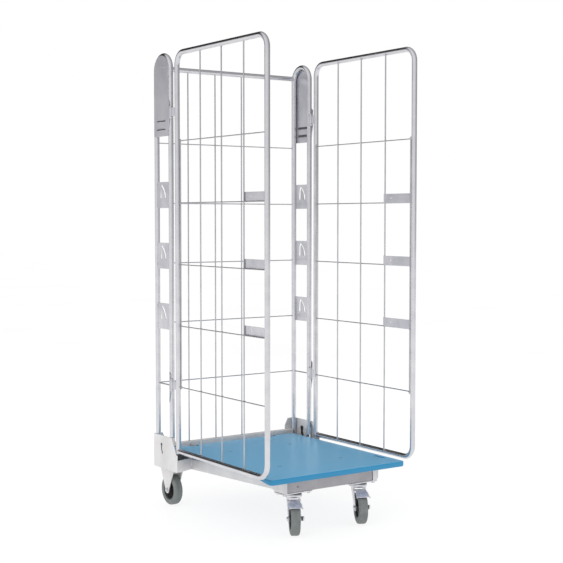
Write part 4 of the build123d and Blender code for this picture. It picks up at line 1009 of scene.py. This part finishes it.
def build_world():
    """Even white light. Mirrored, the room is bright on the left, dim on the right, dark high at the back."""
    world = bpy.data.worlds.new("studio")
    bpy.context.scene.world = world
    world.use_nodes = True
    tree = world.node_tree
    tree.nodes.clear()

    def node(kind, inputs=None, **settings):
        made = tree.nodes.new(kind)
        for key, value in settings.items():
            setattr(made, key, value)
        for key, value in (inputs or {}).items():
            if isinstance(value, bpy.types.NodeSocket):
                tree.links.new(value, made.inputs[key])
            else:
                made.inputs[key].default_value = value
        return made

    def facing(direction, towards):
        inputs = {0: direction, 1: Vector(towards).normalized()}
        return node("ShaderNodeVectorMath", inputs, operation="DOT_PRODUCT").outputs["Value"]

    direction = node("ShaderNodeTexCoord").outputs["Generated"]
    wall_inputs = {"Value": facing(direction, (-1.0, -0.15, 0.0)), 1: -0.6, 2: 0.6, 3: 0.38, 4: 0.92}
    wall = node("ShaderNodeMapRange", wall_inputs).outputs[0]
    parts = node("ShaderNodeSeparateXYZ", {0: direction}).outputs
    raised = node("ShaderNodeMapRange", {"Value": parts["Z"], 1: 0.08, 2: 0.20}).outputs[0]
    behind = node("ShaderNodeMapRange", {"Value": parts["Y"], 1: 0.50, 2: 0.68}).outputs[0]
    shade = node("ShaderNodeMath", {0: raised, 1: behind}, operation="MULTIPLY").outputs[0]
    ceiling = node("ShaderNodeMapRange", {"Value": shade, 3: 1.0, 4: 0.03}).outputs[0]
    strength = node("ShaderNodeMath", {0: wall, 1: ceiling}, operation="MULTIPLY").outputs[0]
    room = node("ShaderNodeBackground", {"Color": (0.98, 0.98, 1.0, 1.0), "Strength": strength})
    white = node("ShaderNodeBackground", {"Color": (1.0, 1.0, 1.0, 1.0), "Strength": 1.0})
    mirrored = node("ShaderNodeLightPath").outputs["Is Glossy Ray"]
    both = node("ShaderNodeMixShader", {0: mirrored, 1: white.outputs[0], 2: room.outputs[0]})
    node("ShaderNodeOutputWorld", {"Surface": both.outputs[0]})


def soft_light(name, place, target, size, power):
    light = bpy.data.lights.new(name, "AREA")
    light.shape = "RECTANGLE"
    light.size, light.size_y = size
    light.energy = power
    obj = bpy.data.objects.new(name, light)
    obj.location = place
    obj.rotation_euler = (Vector(target) - Vector(place)).to_track_quat("-Z", "Y").to_euler()
    obj.visible_glossy = False
    bpy.context.scene.collection.objects.link(obj)


CAMERA_PLACE = (-2.5467, -3.6883, 1.0886)
CAMERA_AZIMUTH = radians(-34.63)
CAMERA_PITCH = radians(2.98)
CAMERA_LENS = 77.85

camera_data = bpy.data.cameras.new("camera")
camera_data.sensor_width = 36.0
camera_data.lens = CAMERA_LENS
camera = bpy.data.objects.new("camera", camera_data)
camera.location = CAMERA_PLACE
camera.rotation_euler = (pi / 2 - CAMERA_PITCH, 0.0, CAMERA_AZIMUTH)
bpy.context.scene.collection.objects.link(camera)
bpy.context.scene.camera = camera

build_floor()
build_world()
soft_light("key", (-3.2, -1.6, 3.6), (0.0, 0.0, 0.7), (2.2, 2.2), 45.0)
soft_light("fill", (3.4, -2.6, 2.2), (0.0, 0.0, 0.8), (2.0, 2.6), 12.0)
soft_light("back", (1.2, 3.6, 3.0), (0.0, 0.0, 0.9), (2.6, 1.6), 20.0)
bpy.context.scene.view_settings.view_transform = "Standard"

bpy.context.view_layer.update()
